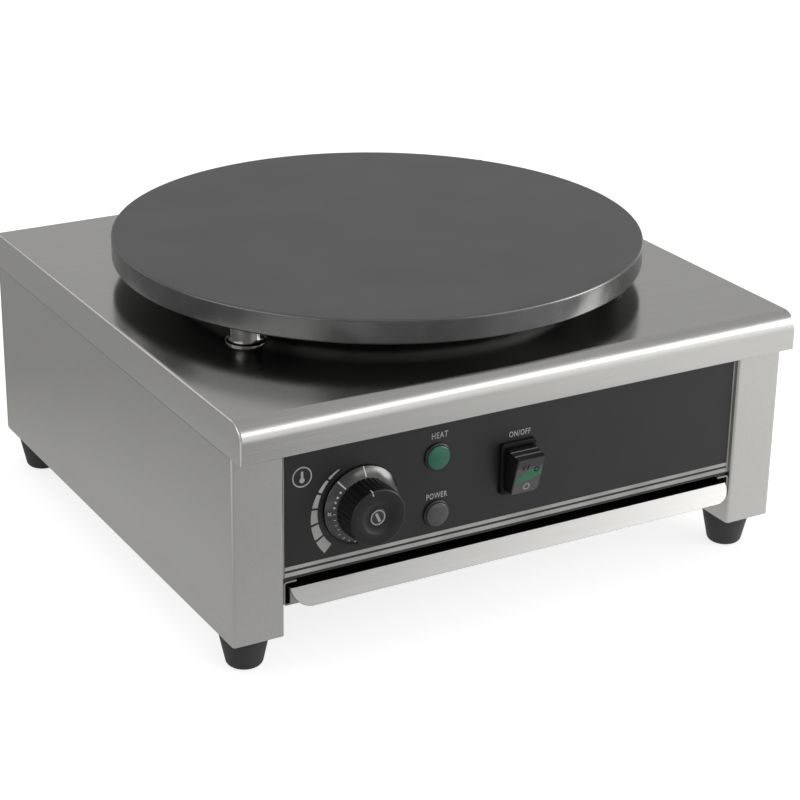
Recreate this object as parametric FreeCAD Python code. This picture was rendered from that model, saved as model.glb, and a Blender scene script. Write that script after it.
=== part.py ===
import FreeCAD, Part
import math
import os

from FreeCAD import Vector

# Electric crepe maker: a round cast iron griddle on a stainless steel housing.
# X is across the front, +Y points to the back and +Z up. The griddle's axis is
# the Z axis, and the feet stand on z = 0. All lengths are in millimetres.

# Griddle plate
plate_radius = 200.0
plate_thickness = 18.0
plate_edge_round = 1.6
plate_gap = 16.0
plate_recess_radius = 160.0
plate_recess_depth = 8.0

# Housing
body_width = 450.0
body_height = 167.0
front_reach = 210.0
back_reach = 215.0
seam_height = 139.0
sheet = 1.2
bend = 1.0
post_width = 38.5
post_return = 40.0
rear_flange = 18.0
joint_gap = 0.3

# Cover
nose_reach = 14.4
nose_radius = 13.0
cover_round = 2.0
lip_return = 3.0
tongue_overlap = 8.0
tongue_clearance = 0.15
tongue_top_gap = 3.0

# Feet
foot_height = 28.0
foot_top_radius = 18.5
foot_floor_radius = 12.5
foot_edge_round = 1.5
foot_recess_radius = 7.5
foot_recess_depth = 15.0
foot_inset_side = 20.0
foot_inset_front = 25.0
foot_inset_back = 25.0
foot_screw_radius = 3.0
foot_washer_radius = 6.5
foot_washer_thickness = 1.2
foot_screw_head_radius = 5.5
foot_screw_head_height = 3.6
foot_nut_width = 10.0
foot_nut_height = 5.0
foot_screw_tail = 2.0

# Plate supports
support_count = 3
support_circle = 178.0
first_support_angle = 90.0
spacer_radius = 11.5
spacer_flange_radius = 14.8
spacer_flange_thickness = 1.6
spacer_bore_clearance = 0.4
stud_radius = 4.0
stud_into_plate = 12.0
stud_nut_width = 13.0
stud_nut_height = 6.5
stud_washer_radius = 9.0
stud_washer_thickness = 1.6
stud_tail = 3.0
thread_clearance = 0.05
bar_width = 40.0
bar_depth = 20.0
bar_sheet = 2.0

# Heating elements under the plate
element_radius = 3.3
outer_loop_radius = 125.0
inner_loop_radius = 70.0
outer_lead_spacing = 12.0
inner_lead_spacing = 32.0
outer_lead_y = 40.0
inner_lead_y = 30.0
element_bend = 12.0
lead_bend = 10.0
lead_drop = 46.0
lead_tip_radius = 1.8
lead_tip_length = 12.0
contact_gap = 0.2
clamp_radius = 150.0
clamp_thickness = 2.0
clamp_bolt_circle = 97.0
clamp_bolt_count = 4
clamp_bolt_radius = 3.0
clamp_bolt_into_plate = 6.0
clamp_bolt_head_width = 10.0
clamp_bolt_head_height = 4.0
pad_radius = 147.0
pad_thickness = 4.0
shield_sheet = 0.8
lead_window_margin = 6.0

# Over-temperature cut-out
cutout_x = -45.0
cutout_y = -40.0
cutout_radius = 8.5
cutout_height = 8.0
cutout_flange_radius = 11.0
cutout_flange_thickness = 1.0
cutout_hole_clearance = 2.0
cutout_tab_width = 6.0
cutout_tab_thickness = 0.8
cutout_tab_length = 4.0

# Control panel
panel_recess = 3.5
overlay_thickness = 0.5
overlay_side_gap = 1.9
overlay_low = 41.5
overlay_high = 146.0
panel_low = 41.0
panel_high = 150.0
panel_side_gap = 0.4
panel_flange = 20.0
panel_foot_flange = 12.0
panel_screw_radius = 2.0
panel_screw_head_radius = 3.4
panel_screw_head_height = 2.0
panel_screw_length = 6.0
panel_screw_heights = (60.0, 125.0)

# Printed marks on the overlay
print_thickness = 0.12
stripe_low = 41.9
stripe_height = 3.1
second_stripe_low = 46.7
second_stripe_height = 2.7
scale_inner_radius = 33.4
scale_start_outer_radius = 34.2
scale_end_outer_radius = 41.4
scale_start_angle = 120.0
scale_end_angle = 230.0
scale_segments = 6
scale_segment_gap = 2.6
icon_edge_gap = 13.3
icon_height = 113.6
icon_radius = 7.4
icon_line = 0.9
icon_bulb_radius = 1.9
icon_bulb_drop = 2.5
icon_stem_height = 4.0

# Thermostat and dial
dial_edge_gap = 58.1
dial_height = 83.9
skirt_radius = 29.0
skirt_top_radius = 22.6
skirt_gap = 1.0
skirt_thickness = 5.5
skirt_edge = 0.8
skirt_screw_room = 1.0
grip_radius = 22.0
grip_front_radius = 20.8
dial_reach = 25.0
grip_front_round = 1.6
grip_flutes = 36
grip_flute_radius = 1.1
dish_radius = 11.5
dish_depth = 1.6
cap_radius = 6.4
cap_thickness = 1.2
cap_stand = 0.2
shaft_radius = 3.0
shaft_clearance = 0.05
shaft_into_grip = 14.0
shaft_flat = 0.8
bush_radius = 5.0
bush_reach = 4.0
thermostat_width = 42.0
thermostat_height = 36.0
thermostat_depth = 30.0
thermostat_plate = 1.5
thermostat_screw_spacing = 28.0
thermostat_screw_radius = 2.0
thermostat_screw_head_radius = 3.0
thermostat_screw_head_height = 0.8
thermostat_screw_length = 6.0

# Temperature bulb and its capillary tube
bulb_radius = 3.0
bulb_length = 90.0
bulb_x = -97.0
capillary_radius = 0.9
capillary_bend = 8.0
capillary_drop_y = 62.0
capillary_run_height = 132.0
capillary_slack = 40.0
capillary_hole_radius = 4.0

# Indicator lamps
lamp_edge_gap = 117.2
heat_lamp_height = 107.0
power_lamp_height = 64.0
lamp_lens_radius = 8.2
lamp_lens_reach = 4.2
lamp_bezel_radius = 10.2
lamp_bezel_height = 1.8
lamp_barrel_radius = 7.8
lamp_barrel_length = 24.0
lamp_nut_radius = 11.0
lamp_nut_height = 4.0
lamp_hole_clearance = 0.3
lamp_barrel_wall = 1.6
lamp_tab_width = 4.0
lamp_tab_thickness = 0.8
lamp_tab_length = 8.0

# Rocker switch
switch_x = -2.0
switch_height = 86.5
bezel_width = 29.0
bezel_tall = 39.0
bezel_thickness = 3.0
bezel_round = 2.5
switch_body_width = 26.0
switch_body_tall = 36.4
switch_body_depth = 30.0
switch_hole_clearance = 0.3
rocker_width = 22.0
rocker_side_clearance = 0.5
rocker_drum_radius = 16.2
rocker_pivot_depth = 3.0
rocker_pin_radius = 1.5
rocker_pin_clearance = 0.05
rocker_pin_length = 1.6
rocker_top_reach = 19.5
rocker_foot_reach = 11.0
rocker_top_height = 13.2
rocker_foot_height = 16.3
rocker_back_depth = 4.0
rocker_window_thickness = 1.6
rocker_window_inset = 1.4
rocker_travel_depth = 9.5
switch_tab_width = 6.3
switch_tab_thickness = 0.8
switch_tab_length = 9.0
switch_tab_pitch = 9.5

# Drawer and its runners
tray_side_gap = 3.0
tray_depth = 380.0
tray_sheet = 1.0
tray_top = 34.8
tray_corner_round = 3.0
lip_reach = 9.5
lip_drop = 11.2
lip_corner_round = 13.5
runner_low = 21.5
runner_ledge = 15.0
runner_flange = 10.0
runner_front_inset = 2.0
running_gap = 0.3

# Inner floor and rear rail
deck_height = 39.5
deck_flange = 15.0
rear_rail_y = 180.0
rear_rail_width = 18.0

# Back panel, cord gland and terminals
back_panel_side_gap = 0.5
louvre_columns = 2
louvre_rows = 7
louvre_length = 90.0
louvre_width = 4.0
louvre_pitch = 11.0
louvre_low = 62.0
louvre_column_x = 70.0
back_screw_radius = 2.0
back_screw_head_radius = 3.8
back_screw_head_height = 2.2
back_screw_length = 8.0
back_screw_inset = 9.0
back_screw_heights = (14.0, 124.0)
cover_screw_inset = 45.0
cover_screw_drop = 14.0
gland_edge_gap = 60.0
gland_height = 70.0
gland_thread_radius = 8.0
gland_bore_radius = 4.5
gland_flange_width = 22.0
gland_flange_thickness = 5.0
gland_reach = 16.5
gland_nut_width = 20.0
gland_nose_radius = 7.0
gland_nose_length = 4.0
gland_inner_length = 12.0
gland_locknut_width = 22.0
gland_locknut_height = 5.0
block_edge_gap = 105.0
block_y = 150.0
block_ways = 3
block_pitch = 16.0
block_depth = 28.0
block_tall = 20.0
block_base = 3.0
block_end_margin = 4.0
block_cell_gap = 3.0
block_cell_inset = 2.0
block_screw_radius = 2.5
block_screw_height = 3.0
block_screw_sink = 0.6
earth_edge_gap = 60.0
earth_y = 110.0
earth_stud_radius = 3.0
earth_stud_length = 20.0
earth_nut_width = 10.0
earth_nut_height = 5.0
earth_nut_gap = 2.0

# Inner wiring
wire_radius = 1.6
wire_bend = 8.0
wire_entry_height = 9.0
wire_entry_depth = 2.0
wire_turn_room = 20.0
wire_spacing = 10.0
wire_floor_gap = 6.0
wire_thermostat_room = 14.0
wire_thermostat_drop = 8.0

# Levels and planes worked out from the sizes above
bottom_z = foot_height
seam_z = bottom_z + seam_height
cover_z = bottom_z + body_height
under_cover_z = cover_z - sheet
plate_low_z = cover_z + plate_gap
plate_top_z = plate_low_z + plate_thickness
recess_z = plate_low_z + plate_recess_depth
half_width = body_width / 2
front_y = -front_reach
back_y = back_reach
nose_y = front_y - nose_reach
wall_back_y = back_y - sheet - joint_gap
post_inner_x = half_width - post_width
wall_inner_x = half_width - sheet
cover_screw_x = half_width - cover_screw_inset
gland_x = half_width - gland_edge_gap
block_x = half_width - block_edge_gap
earth_x = half_width - earth_edge_gap
wall_top_z = seam_z - joint_gap
tongue_x = wall_inner_x - tongue_clearance
tongue_top_z = under_cover_z - tongue_top_gap
overlay_y = front_y + panel_recess
panel_y = overlay_y + overlay_thickness
panel_back_y = panel_y + sheet
panel_half = post_inner_x - panel_side_gap
overlay_half_width = post_inner_x - overlay_side_gap
icon_x = icon_edge_gap - overlay_half_width
dial_x = dial_edge_gap - overlay_half_width
lamp_x = lamp_edge_gap - overlay_half_width
deck_z = bottom_z + deck_height
deck_top_z = deck_z + sheet
deck_half = wall_inner_x - joint_gap
runner_x = post_inner_x - joint_gap
tray_half_width = runner_x - sheet - tray_side_gap
runner_z = bottom_z + runner_low
tray_low_z = runner_z + sheet + running_gap
tray_top_z = bottom_z + tray_top
bar_top_z = under_cover_z
bar_low_z = bar_top_z - bar_sheet
element_z = recess_z - contact_gap - element_radius
clamp_top_z = element_z - element_radius - contact_gap
clamp_low_z = clamp_top_z - clamp_thickness
pad_top_z = clamp_low_z - contact_gap
pad_low_z = pad_top_z - pad_thickness
shield_top_z = pad_low_z - contact_gap
shield_low_z = shield_top_z - shield_sheet
dial_z = bottom_z + dial_height
switch_z = bottom_z + switch_height
gland_z = bottom_z + gland_height
dial_front_y = overlay_y - dial_reach
pivot_y = overlay_y + rocker_pivot_depth


# Basic shapes

def box(x_span, y_span, z_span):
    corner = Vector(min(x_span), min(y_span), min(z_span))
    size = [max(span) - min(span) for span in (x_span, y_span, z_span)]
    return Part.makeBox(size[0], size[1], size[2], corner)


def upright(radius, x, y, z_span):
    low = min(z_span)
    return Part.makeCylinder(radius, max(z_span) - low, Vector(x, y, low), Vector(0, 0, 1))


def level(radius, x, z, y_span):
    low = min(y_span)
    return Part.makeCylinder(radius, max(y_span) - low, Vector(x, low, z), Vector(0, 1, 0))


def crosswise(radius, y, z, x_span):
    low = min(x_span)
    return Part.makeCylinder(radius, max(x_span) - low, Vector(low, y, z), Vector(1, 0, 0))


def tapered(radius_low, radius_high, base, axis, length):
    return Part.makeCone(radius_low, radius_high, length, base, axis)


def hexagon(width, base, axis, length):
    # A hexagonal prism, with its size given across flats.
    corner = width / 2 / math.cos(math.pi / 6)
    turn = FreeCAD.Rotation(Vector(0, 0, 1), axis)
    points = []
    for step in range(6):
        angle = math.radians(60 * step)
        points.append(base + turn.multVec(Vector(corner * math.cos(angle), corner * math.sin(angle), 0)))
    outline = Part.makePolygon(points + points[:1])
    return Part.Face(outline).extrude(axis * length)


def joined(shapes):
    whole = shapes[0].multiFuse(shapes[1:])
    return whole.removeSplitter()


def mirrored_in_x(shape):
    return shape.mirror(Vector(0, 0, 0), Vector(1, 0, 0))


def rounded_path(points, radii, closed):
    # Straight runs through the points, each corner rounded by its own tangent arc.
    count = len(points)
    starts = []
    ends = []
    arcs = []
    for index in range(count):
        here = points[index]
        is_end = not closed and index in (0, count - 1)
        if radii[index] <= 0 or is_end:
            starts.append(here)
            ends.append(here)
            arcs.append(None)
            continue
        back = (points[index - 1] - here).normalize()
        onward = (points[(index + 1) % count] - here).normalize()
        half_angle = back.getAngle(onward) / 2
        reach = radii[index] / math.tan(half_angle)
        middle = (back + onward).normalize()
        depth = radii[index] / math.sin(half_angle) - radii[index]
        first = here + back * reach
        last = here + onward * reach
        starts.append(first)
        ends.append(last)
        arcs.append(Part.Arc(first, here + middle * depth, last).toShape())
    edges = []
    for index in range(count):
        if arcs[index]:
            edges.append(arcs[index])
        following = (index + 1) % count
        is_last = not closed and index == count - 1
        if not is_last and ends[index].distanceToPoint(starts[following]) > 1e-6:
            edges.append(Part.LineSegment(ends[index], starts[following]).toShape())
    return Part.Wire(edges)


def prism(points, radii, sweep):
    return Part.Face(rounded_path(points, radii, True)).extrude(sweep)


def shifted_left(points, distance):
    # The points of an open line of straight runs, moved to its left.
    moved = []
    last = len(points) - 1
    for index, point in enumerate(points):
        normals = []
        for first, second in ((index - 1, index), (index, index + 1)):
            if first < 0 or second > last:
                continue
            run_x = points[second][0] - points[first][0]
            run_y = points[second][1] - points[first][1]
            length = math.hypot(run_x, run_y)
            normals.append((-run_y / length, run_x / length))
        one = normals[0]
        two = normals[-1]
        spread = 1 + one[0] * two[0] + one[1] * two[1]
        moved.append((point[0] + distance * (one[0] + two[0]) / spread,
                      point[1] + distance * (one[1] + two[1]) / spread))
    return moved


def folded_sheet(points, thickness, place, sweep):
    # A folded sheet: its section follows the points, with the metal on their left.
    other = shifted_left(points, thickness)
    near = [0.0]
    far = [0.0]
    for index in range(1, len(points) - 1):
        before = points[index - 1]
        here = points[index]
        after = points[index + 1]
        turn = ((here[0] - before[0]) * (after[1] - here[1])
                - (here[1] - before[1]) * (after[0] - here[0]))
        near.append(bend + thickness if turn > 0 else bend)
        far.append(bend if turn > 0 else bend + thickness)
    near.append(0.0)
    far.append(0.0)
    outline = [place(a, b) for a, b in points + other[::-1]]
    return prism(outline, near + far[::-1], sweep)


def bent_tube(points, radii, radius):
    path = rounded_path(points, radii, False)
    start = (points[1] - points[0]).normalize()
    ring = Part.Wire(Part.makeCircle(radius, points[0], start))
    return path.makePipeShell([ring], True, False)


def screw(head_radius, head_height, shank_radius, shank_length, seat, direction):
    # A round-headed screw; direction points from the seat into the work.
    head = Part.makeCylinder(head_radius, head_height, seat - direction * head_height, direction)
    outer = [e for e in head.Edges if is_rim_of_head(e, seat, head_height)]
    head = head.makeFillet(head_height / 2, outer)
    shank = Part.makeCylinder(shank_radius, shank_length, seat, direction)
    return joined([head, shank])


def is_rim_of_head(edge, seat, height):
    return len(edge.Vertexes) == 1 and edge.CenterOfMass.distanceToPoint(seat) > height / 2


def drilled_nut(width, height, bore_radius, base, axis):
    body = hexagon(width, base, axis, height)
    return body.cut(Part.makeCylinder(bore_radius, height, base, axis))


def support_places():
    places = []
    for index in range(support_count):
        angle = math.radians(first_support_angle + 360.0 / support_count * index)
        places.append((support_circle * math.cos(angle), support_circle * math.sin(angle)))
    return places


def foot_places():
    foot_x = half_width - foot_inset_side
    front = front_y + foot_inset_front
    back = back_y - foot_inset_back
    return {
        "front_left": (-foot_x, front),
        "front_right": (foot_x, front),
        "back_left": (-foot_x, back),
        "back_right": (foot_x, back),
    }


def clamp_bolt_places():
    places = []
    for index in range(clamp_bolt_count):
        angle = math.radians(360.0 / clamp_bolt_count * (index + 0.5))
        places.append((clamp_bolt_circle * math.cos(angle), clamp_bolt_circle * math.sin(angle)))
    return places


def lead_window(z_span):
    # The window that the element leads come down through.
    half = inner_lead_spacing / 2 + lead_window_margin
    near = inner_lead_y - lead_window_margin
    far = outer_lead_y + lead_bend + lead_window_margin
    return box((-half, half), (near, far), z_span)


# Griddle, elements and heat shielding

def griddle_plate():
    disc = upright(plate_radius, 0, 0, (plate_low_z, plate_top_z))
    rims = [e for e in disc.Edges if len(e.Vertexes) == 1]
    disc = disc.makeFillet(plate_edge_round, rims)
    disc = disc.cut(upright(plate_recess_radius, 0, 0, (plate_low_z, recess_z)))
    for x, y in support_places():
        disc = disc.cut(upright(stud_radius + thread_clearance, x, y,
                                (plate_low_z, plate_low_z + stud_into_plate)))
    for x, y in clamp_bolt_places():
        disc = disc.cut(upright(clamp_bolt_radius + thread_clearance, x, y,
                                (recess_z, recess_z + clamp_bolt_into_plate)))
    return disc


def heating_element(loop_radius, lead_spacing, lead_y):
    # An open loop whose two ends run inwards side by side and then turn down.
    lead_x = lead_spacing / 2
    corner_x = lead_x + element_bend
    corner_y = math.sqrt((loop_radius - element_bend) ** 2 - corner_x ** 2)
    stretch = loop_radius / (loop_radius - element_bend)
    toward = 1 / math.sqrt(2)
    edges = []
    for side in (1, -1):
        foot = Vector(side * lead_x, lead_y, element_z - lead_drop)
        below = Vector(side * lead_x, lead_y, element_z - lead_bend)
        level_start = Vector(side * lead_x, lead_y + lead_bend, element_z)
        bend_middle = Vector(side * lead_x, lead_y + lead_bend * (1 - toward),
                             element_z - lead_bend * (1 - toward))
        turn_start = Vector(side * lead_x, corner_y, element_z)
        turn_end = Vector(side * corner_x * stretch, corner_y * stretch, element_z)
        centre = Vector(side * corner_x, corner_y, element_z)
        outward = ((turn_start - centre) + (turn_end - centre)).normalize()
        run = [Part.LineSegment(foot, below).toShape(),
               Part.Arc(below, bend_middle, level_start).toShape(),
               Part.LineSegment(level_start, turn_start).toShape(),
               Part.Arc(turn_start, centre + outward * element_bend, turn_end).toShape()]
        if side == 1:
            edges += run
            ring_start = turn_end
        else:
            ring = Part.Arc(ring_start, Vector(0, -loop_radius, element_z), turn_end).toShape()
            edges.append(ring)
            edges += run[::-1]
    path = Part.Wire(Part.__sortEdges__(edges))
    first = Vector(lead_x, lead_y, element_z - lead_drop)
    circle = Part.Wire(Part.makeCircle(element_radius, first, Vector(0, 0, 1)))
    tube = path.makePipeShell([circle], True, False)
    tips = []
    for side in (1, -1):
        low = element_z - lead_drop
        tips.append(upright(lead_tip_radius, side * lead_x, lead_y, (low - lead_tip_length, low)))
    return joined([tube] + tips)


def heat_disc(radius, z_span, bolt_clearance):
    disc = upright(radius, 0, 0, z_span)
    disc = disc.cut(lead_window(z_span))
    for x, y in clamp_bolt_places():
        disc = disc.cut(upright(clamp_bolt_radius + bolt_clearance, x, y, z_span))
    return disc.cut(upright(capillary_hole_radius, bulb_x, capillary_drop_y, z_span))


def element_clamp():
    return heat_disc(clamp_radius, (clamp_low_z, clamp_top_z), joint_gap)


def cutout_hole(z_span):
    return upright(cutout_radius + cutout_hole_clearance, cutout_x, cutout_y, z_span)


def insulation_pad():
    span = (pad_low_z, pad_top_z)
    flange_room = cutout_flange_radius + joint_gap
    return heat_disc(pad_radius, span, joint_gap).cut(upright(flange_room, cutout_x, cutout_y, span))


def heat_shield():
    # A shallow pan that holds the insulation against the clamp.
    outer_radius = pad_radius + joint_gap + shield_sheet
    pan = upright(outer_radius, 0, 0, (shield_low_z, pad_top_z))
    pan = pan.cut(upright(outer_radius - shield_sheet, 0, 0, (shield_top_z, pad_top_z)))
    floor = (shield_low_z, shield_top_z)
    pan = pan.cut(lead_window(floor))
    for x, y in clamp_bolt_places():
        pan = pan.cut(upright(clamp_bolt_radius + joint_gap, x, y, floor))
    pan = pan.cut(upright(capillary_hole_radius, bulb_x, capillary_drop_y, floor))
    return pan.cut(cutout_hole(floor))


def clamp_bolts():
    bolts = []
    for x, y in clamp_bolt_places():
        head_top = shield_low_z
        head = hexagon(clamp_bolt_head_width, Vector(x, y, head_top - clamp_bolt_head_height),
                       Vector(0, 0, 1), clamp_bolt_head_height)
        shank_top = recess_z + clamp_bolt_into_plate - joint_gap
        shank = upright(clamp_bolt_radius, x, y, (head_top, shank_top))
        bolts.append(joined([head, shank]))
    return Part.makeCompound(bolts)


def overheat_cutout():
    flange = upright(cutout_flange_radius, cutout_x, cutout_y,
                     (pad_top_z - cutout_flange_thickness, pad_top_z))
    low = pad_top_z - cutout_height
    solids = [flange, upright(cutout_radius, cutout_x, cutout_y, (low, pad_top_z))]
    for side in (-1, 1):
        x = cutout_x + side * cutout_radius / 2
        solids.append(box((x - cutout_tab_thickness / 2, x + cutout_tab_thickness / 2),
                          (cutout_y - cutout_tab_width / 2, cutout_y + cutout_tab_width / 2),
                          (low - cutout_tab_length, low)))
    return joined(solids)


# Plate supports

def plate_spacers():
    return Part.makeCompound([plate_spacer(x, y) for x, y in support_places()])


def plate_spacer(x, y):
    # A bright sleeve with a flared foot that holds the plate off the cover.
    sleeve = upright(spacer_radius, x, y, (cover_z, plate_low_z))
    flare = tapered(spacer_flange_radius, spacer_radius, Vector(x, y, cover_z + spacer_flange_thickness),
                    Vector(0, 0, 1), spacer_flange_thickness)
    foot = upright(spacer_flange_radius, x, y, (cover_z, cover_z + spacer_flange_thickness))
    body = joined([sleeve, flare, foot])
    return body.cut(upright(stud_radius + spacer_bore_clearance, x, y, (cover_z, plate_low_z)))


def plate_studs():
    low = bar_low_z - stud_washer_thickness - stud_nut_height - stud_tail
    high = plate_low_z + stud_into_plate - joint_gap
    return Part.makeCompound([upright(stud_radius, x, y, (low, high)) for x, y in support_places()])


def stud_washers():
    rings = []
    for x, y in support_places():
        span = (bar_low_z - stud_washer_thickness, bar_low_z)
        ring = upright(stud_washer_radius, x, y, span)
        rings.append(ring.cut(upright(stud_radius + spacer_bore_clearance, x, y, span)))
    return Part.makeCompound(rings)


def stud_nuts():
    nuts = []
    for x, y in support_places():
        base = Vector(x, y, bar_low_z - stud_washer_thickness - stud_nut_height)
        nuts.append(drilled_nut(stud_nut_width, stud_nut_height, stud_radius + thread_clearance,
                                base, Vector(0, 0, 1)))
    return Part.makeCompound(nuts)


def support_bar(y):
    # An upturned channel that carries the plate's studs across the housing.
    half_bar = bar_width / 2
    half_length = tongue_x - sheet - tongue_clearance
    low = bar_top_z - bar_depth
    section = [(y + half_bar, low), (y + half_bar, bar_top_z), (y - half_bar, bar_top_z), (y - half_bar, low)]
    channel = folded_sheet(section, bar_sheet, lambda a, b: Vector(-half_length, a, b),
                           Vector(2 * half_length, 0, 0))
    solids = [channel]
    for side in (-1, 1):
        outer = side * half_length
        inner = side * (half_length - bar_sheet)
        tab_span = (y - half_bar + bar_sheet, y + half_bar - bar_sheet)
        solids.append(box((outer, inner), tab_span, (low, bar_low_z)))
    bar = joined(solids)
    for hole_x, hole_y in support_places():
        if abs(hole_y - y) < half_bar:
            bar = bar.cut(upright(stud_radius + spacer_bore_clearance, hole_x, hole_y,
                                  (bar_low_z, bar_top_z)))
    return bar


def support_rows():
    # The two distances from the front at which the supports stand.
    rows = sorted({round(y, 6) for x, y in support_places()})
    return rows[0], rows[-1]


# Housing

def cover_block(inset, low_z):
    outer_x = half_width - inset
    points = [Vector(-outer_x, back_y - inset, low_z),
              Vector(-outer_x, back_y - inset, cover_z - inset),
              Vector(-outer_x, nose_y + inset, cover_z - inset),
              Vector(-outer_x, nose_y + inset, low_z)]
    radii = [0, cover_round - inset, nose_radius - inset, 0]
    return prism(points, radii, Vector(2 * outer_x, 0, 0))


def is_cover_rim(edge, low_z):
    # The outline of a closed end, without its open bottom edge.
    span = edge.BoundBox
    return span.XLength < sheet and span.ZMax > low_z + sheet and abs(span.XMin) > half_width - sheet


def top_cover():
    # A drawn lid with a bull-nosed front, closed ends and a hidden window for the leads.
    outer = cover_block(0, seam_z)
    rims = [e for e in outer.Edges if is_cover_rim(e, seam_z)]
    outer = outer.makeFillet(cover_round, rims)
    cover = outer.cut(cover_block(sheet, seam_z + sheet))
    cover = cover.cut(box((-wall_inner_x, wall_inner_x), (front_y + lip_return, back_y - sheet),
                          (seam_z, seam_z + sheet)))
    through = (under_cover_z, cover_z)
    cover = cover.cut(lead_window(through))
    cover = cover.cut(upright(capillary_hole_radius, bulb_x, capillary_drop_y, through))
    for x, y in support_places():
        cover = cover.cut(upright(stud_radius + spacer_bore_clearance, x, y, through))
    for x in cover_screw_places():
        cover = cover.cut(level(back_screw_radius + joint_gap, x, seam_z + cover_screw_drop,
                                (back_y - sheet, back_y)))
    return cover


def cover_screw_places():
    return (-cover_screw_x, 0.0, cover_screw_x)


def side_panel():
    # The right-hand side: post return, post face, side wall and rear flange in one folded sheet.
    plan = [(post_inner_x, front_y + post_return), (post_inner_x, front_y), (half_width, front_y),
            (half_width, wall_back_y), (half_width - rear_flange, wall_back_y)]
    wall = folded_sheet(plan, sheet, lambda a, b: Vector(a, b, bottom_z),
                        Vector(0, 0, wall_top_z - bottom_z))
    flange = box((post_inner_x + sheet, wall_inner_x), (front_y + sheet, wall_back_y - sheet),
                 (bottom_z, bottom_z + sheet))
    tongue_span = (front_y + post_return, wall_back_y - sheet - joint_gap)
    tongue = box((tongue_x - sheet, tongue_x), tongue_span, (wall_top_z - tongue_overlap, tongue_top_z))
    tongue_seat = box((tongue_x - sheet, wall_inner_x), tongue_span,
                      (wall_top_z - tongue_overlap, wall_top_z - sheet))
    panel = joined([wall, flange, tongue, tongue_seat])
    for x, y in foot_places().values():
        if x > 0:
            panel = panel.cut(upright(foot_screw_radius + joint_gap, x, y, (bottom_z, bottom_z + sheet)))
    for height in panel_screw_heights:
        panel = panel.cut(crosswise(panel_screw_radius + joint_gap, panel_screw_y(), bottom_z + height,
                                    (post_inner_x, post_inner_x + sheet)))
    for height in back_screw_heights:
        panel = panel.cut(level(back_screw_radius + joint_gap, half_width - back_screw_inset,
                                bottom_z + height, (wall_back_y - sheet, wall_back_y)))
    return panel


def panel_screw_y():
    return panel_back_y + panel_flange / 2


def back_panel():
    # The rear sheet with its cooling slots, cord gland hole and a tongue behind the cover's skirt.
    half = half_width - back_panel_side_gap
    wall = box((-half, half), (back_y - sheet, back_y), (bottom_z, wall_top_z))
    tongue_y = back_y - sheet - tongue_clearance
    tongue_half = tongue_x - sheet - rear_flange
    tongue = box((-tongue_half, tongue_half), (tongue_y - sheet, tongue_y),
                 (wall_top_z - tongue_overlap, tongue_top_z))
    seat = box((-tongue_half, tongue_half), (tongue_y - sheet, back_y - sheet),
               (wall_top_z - tongue_overlap, wall_top_z - sheet))
    panel = joined([wall, tongue, seat])
    for centre_x, z in louvre_places():
        panel = panel.cut(louvre_slot(centre_x, z))
    panel = panel.cut(level(gland_thread_radius + joint_gap, gland_x, gland_z, (back_y - sheet, back_y)))
    for x in cover_screw_places():
        panel = panel.cut(level(back_screw_radius + joint_gap, x, seam_z + cover_screw_drop,
                                (tongue_y - sheet, tongue_y)))
    for x in (-half_width + back_screw_inset, half_width - back_screw_inset):
        for height in back_screw_heights:
            panel = panel.cut(level(back_screw_radius + joint_gap, x, bottom_z + height,
                                    (back_y - sheet, back_y)))
    return panel


def louvre_places():
    places = []
    for column in range(louvre_columns):
        centre_x = (column - (louvre_columns - 1) / 2) * 2 * louvre_column_x
        for row in range(louvre_rows):
            places.append((centre_x - louvre_column_x / 2, bottom_z + louvre_low + row * louvre_pitch))
    return places


def louvre_slot(centre_x, z):
    half = louvre_length / 2
    span = (back_y - sheet, back_y)
    end = louvre_width / 2
    middle = box((centre_x - half + end, centre_x + half - end), span, (z - end, z + end))
    ends = [level(end, centre_x + side * (half - end), z, span) for side in (-1, 1)]
    return middle.multiFuse(ends)


def front_panel():
    low = bottom_z + panel_low
    high = bottom_z + panel_high
    face = box((-panel_half, panel_half), (panel_y, panel_back_y), (low, high))
    foot = box((-panel_half, panel_half), (panel_y, panel_back_y + panel_foot_flange), (low, low + sheet))
    solids = [face, foot]
    for side in (-1, 1):
        solids.append(box((side * panel_half, side * (panel_half - sheet)),
                          (panel_y, panel_back_y + panel_flange), (low, high)))
    panel = joined(solids)
    for side in (-1, 1):
        for height in panel_screw_heights:
            panel = panel.cut(crosswise(panel_screw_radius + joint_gap, panel_screw_y(), bottom_z + height,
                                        (side * panel_half, side * (panel_half - sheet))))
    return cut_for_controls(panel, (panel_y, panel_back_y), joint_gap)


def cut_for_controls(shape, y_span, extra):
    # Openings for the dial's bush and screws, the lamps and the switch.
    shape = shape.cut(level(bush_radius + extra, dial_x, dial_z, y_span))
    for side in (-1, 1):
        screw_x = dial_x + side * thermostat_screw_spacing / 2
        shape = shape.cut(level(thermostat_screw_radius + extra, screw_x, dial_z, y_span))
    for height in (heat_lamp_height, power_lamp_height):
        shape = shape.cut(level(lamp_barrel_radius + lamp_hole_clearance, lamp_x, bottom_z + height, y_span))
    half_hole = switch_body_width / 2 + switch_hole_clearance
    half_tall = switch_body_tall / 2 + switch_hole_clearance
    return shape.cut(box((switch_x - half_hole, switch_x + half_hole), y_span,
                         (switch_z - half_tall, switch_z + half_tall)))


def control_overlay():
    film = box((-overlay_half_width, overlay_half_width), (overlay_y, panel_y),
               (bottom_z + overlay_low, bottom_z + overlay_high))
    return cut_for_controls(film, (overlay_y, panel_y), joint_gap)


def printed_stripes():
    stripes = []
    for low, height in ((stripe_low, stripe_height), (second_stripe_low, second_stripe_height)):
        stripes.append(box((-overlay_half_width, overlay_half_width), (overlay_y - print_thickness, overlay_y),
                           (bottom_z + low, bottom_z + low + height)))
    return stripes


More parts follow.
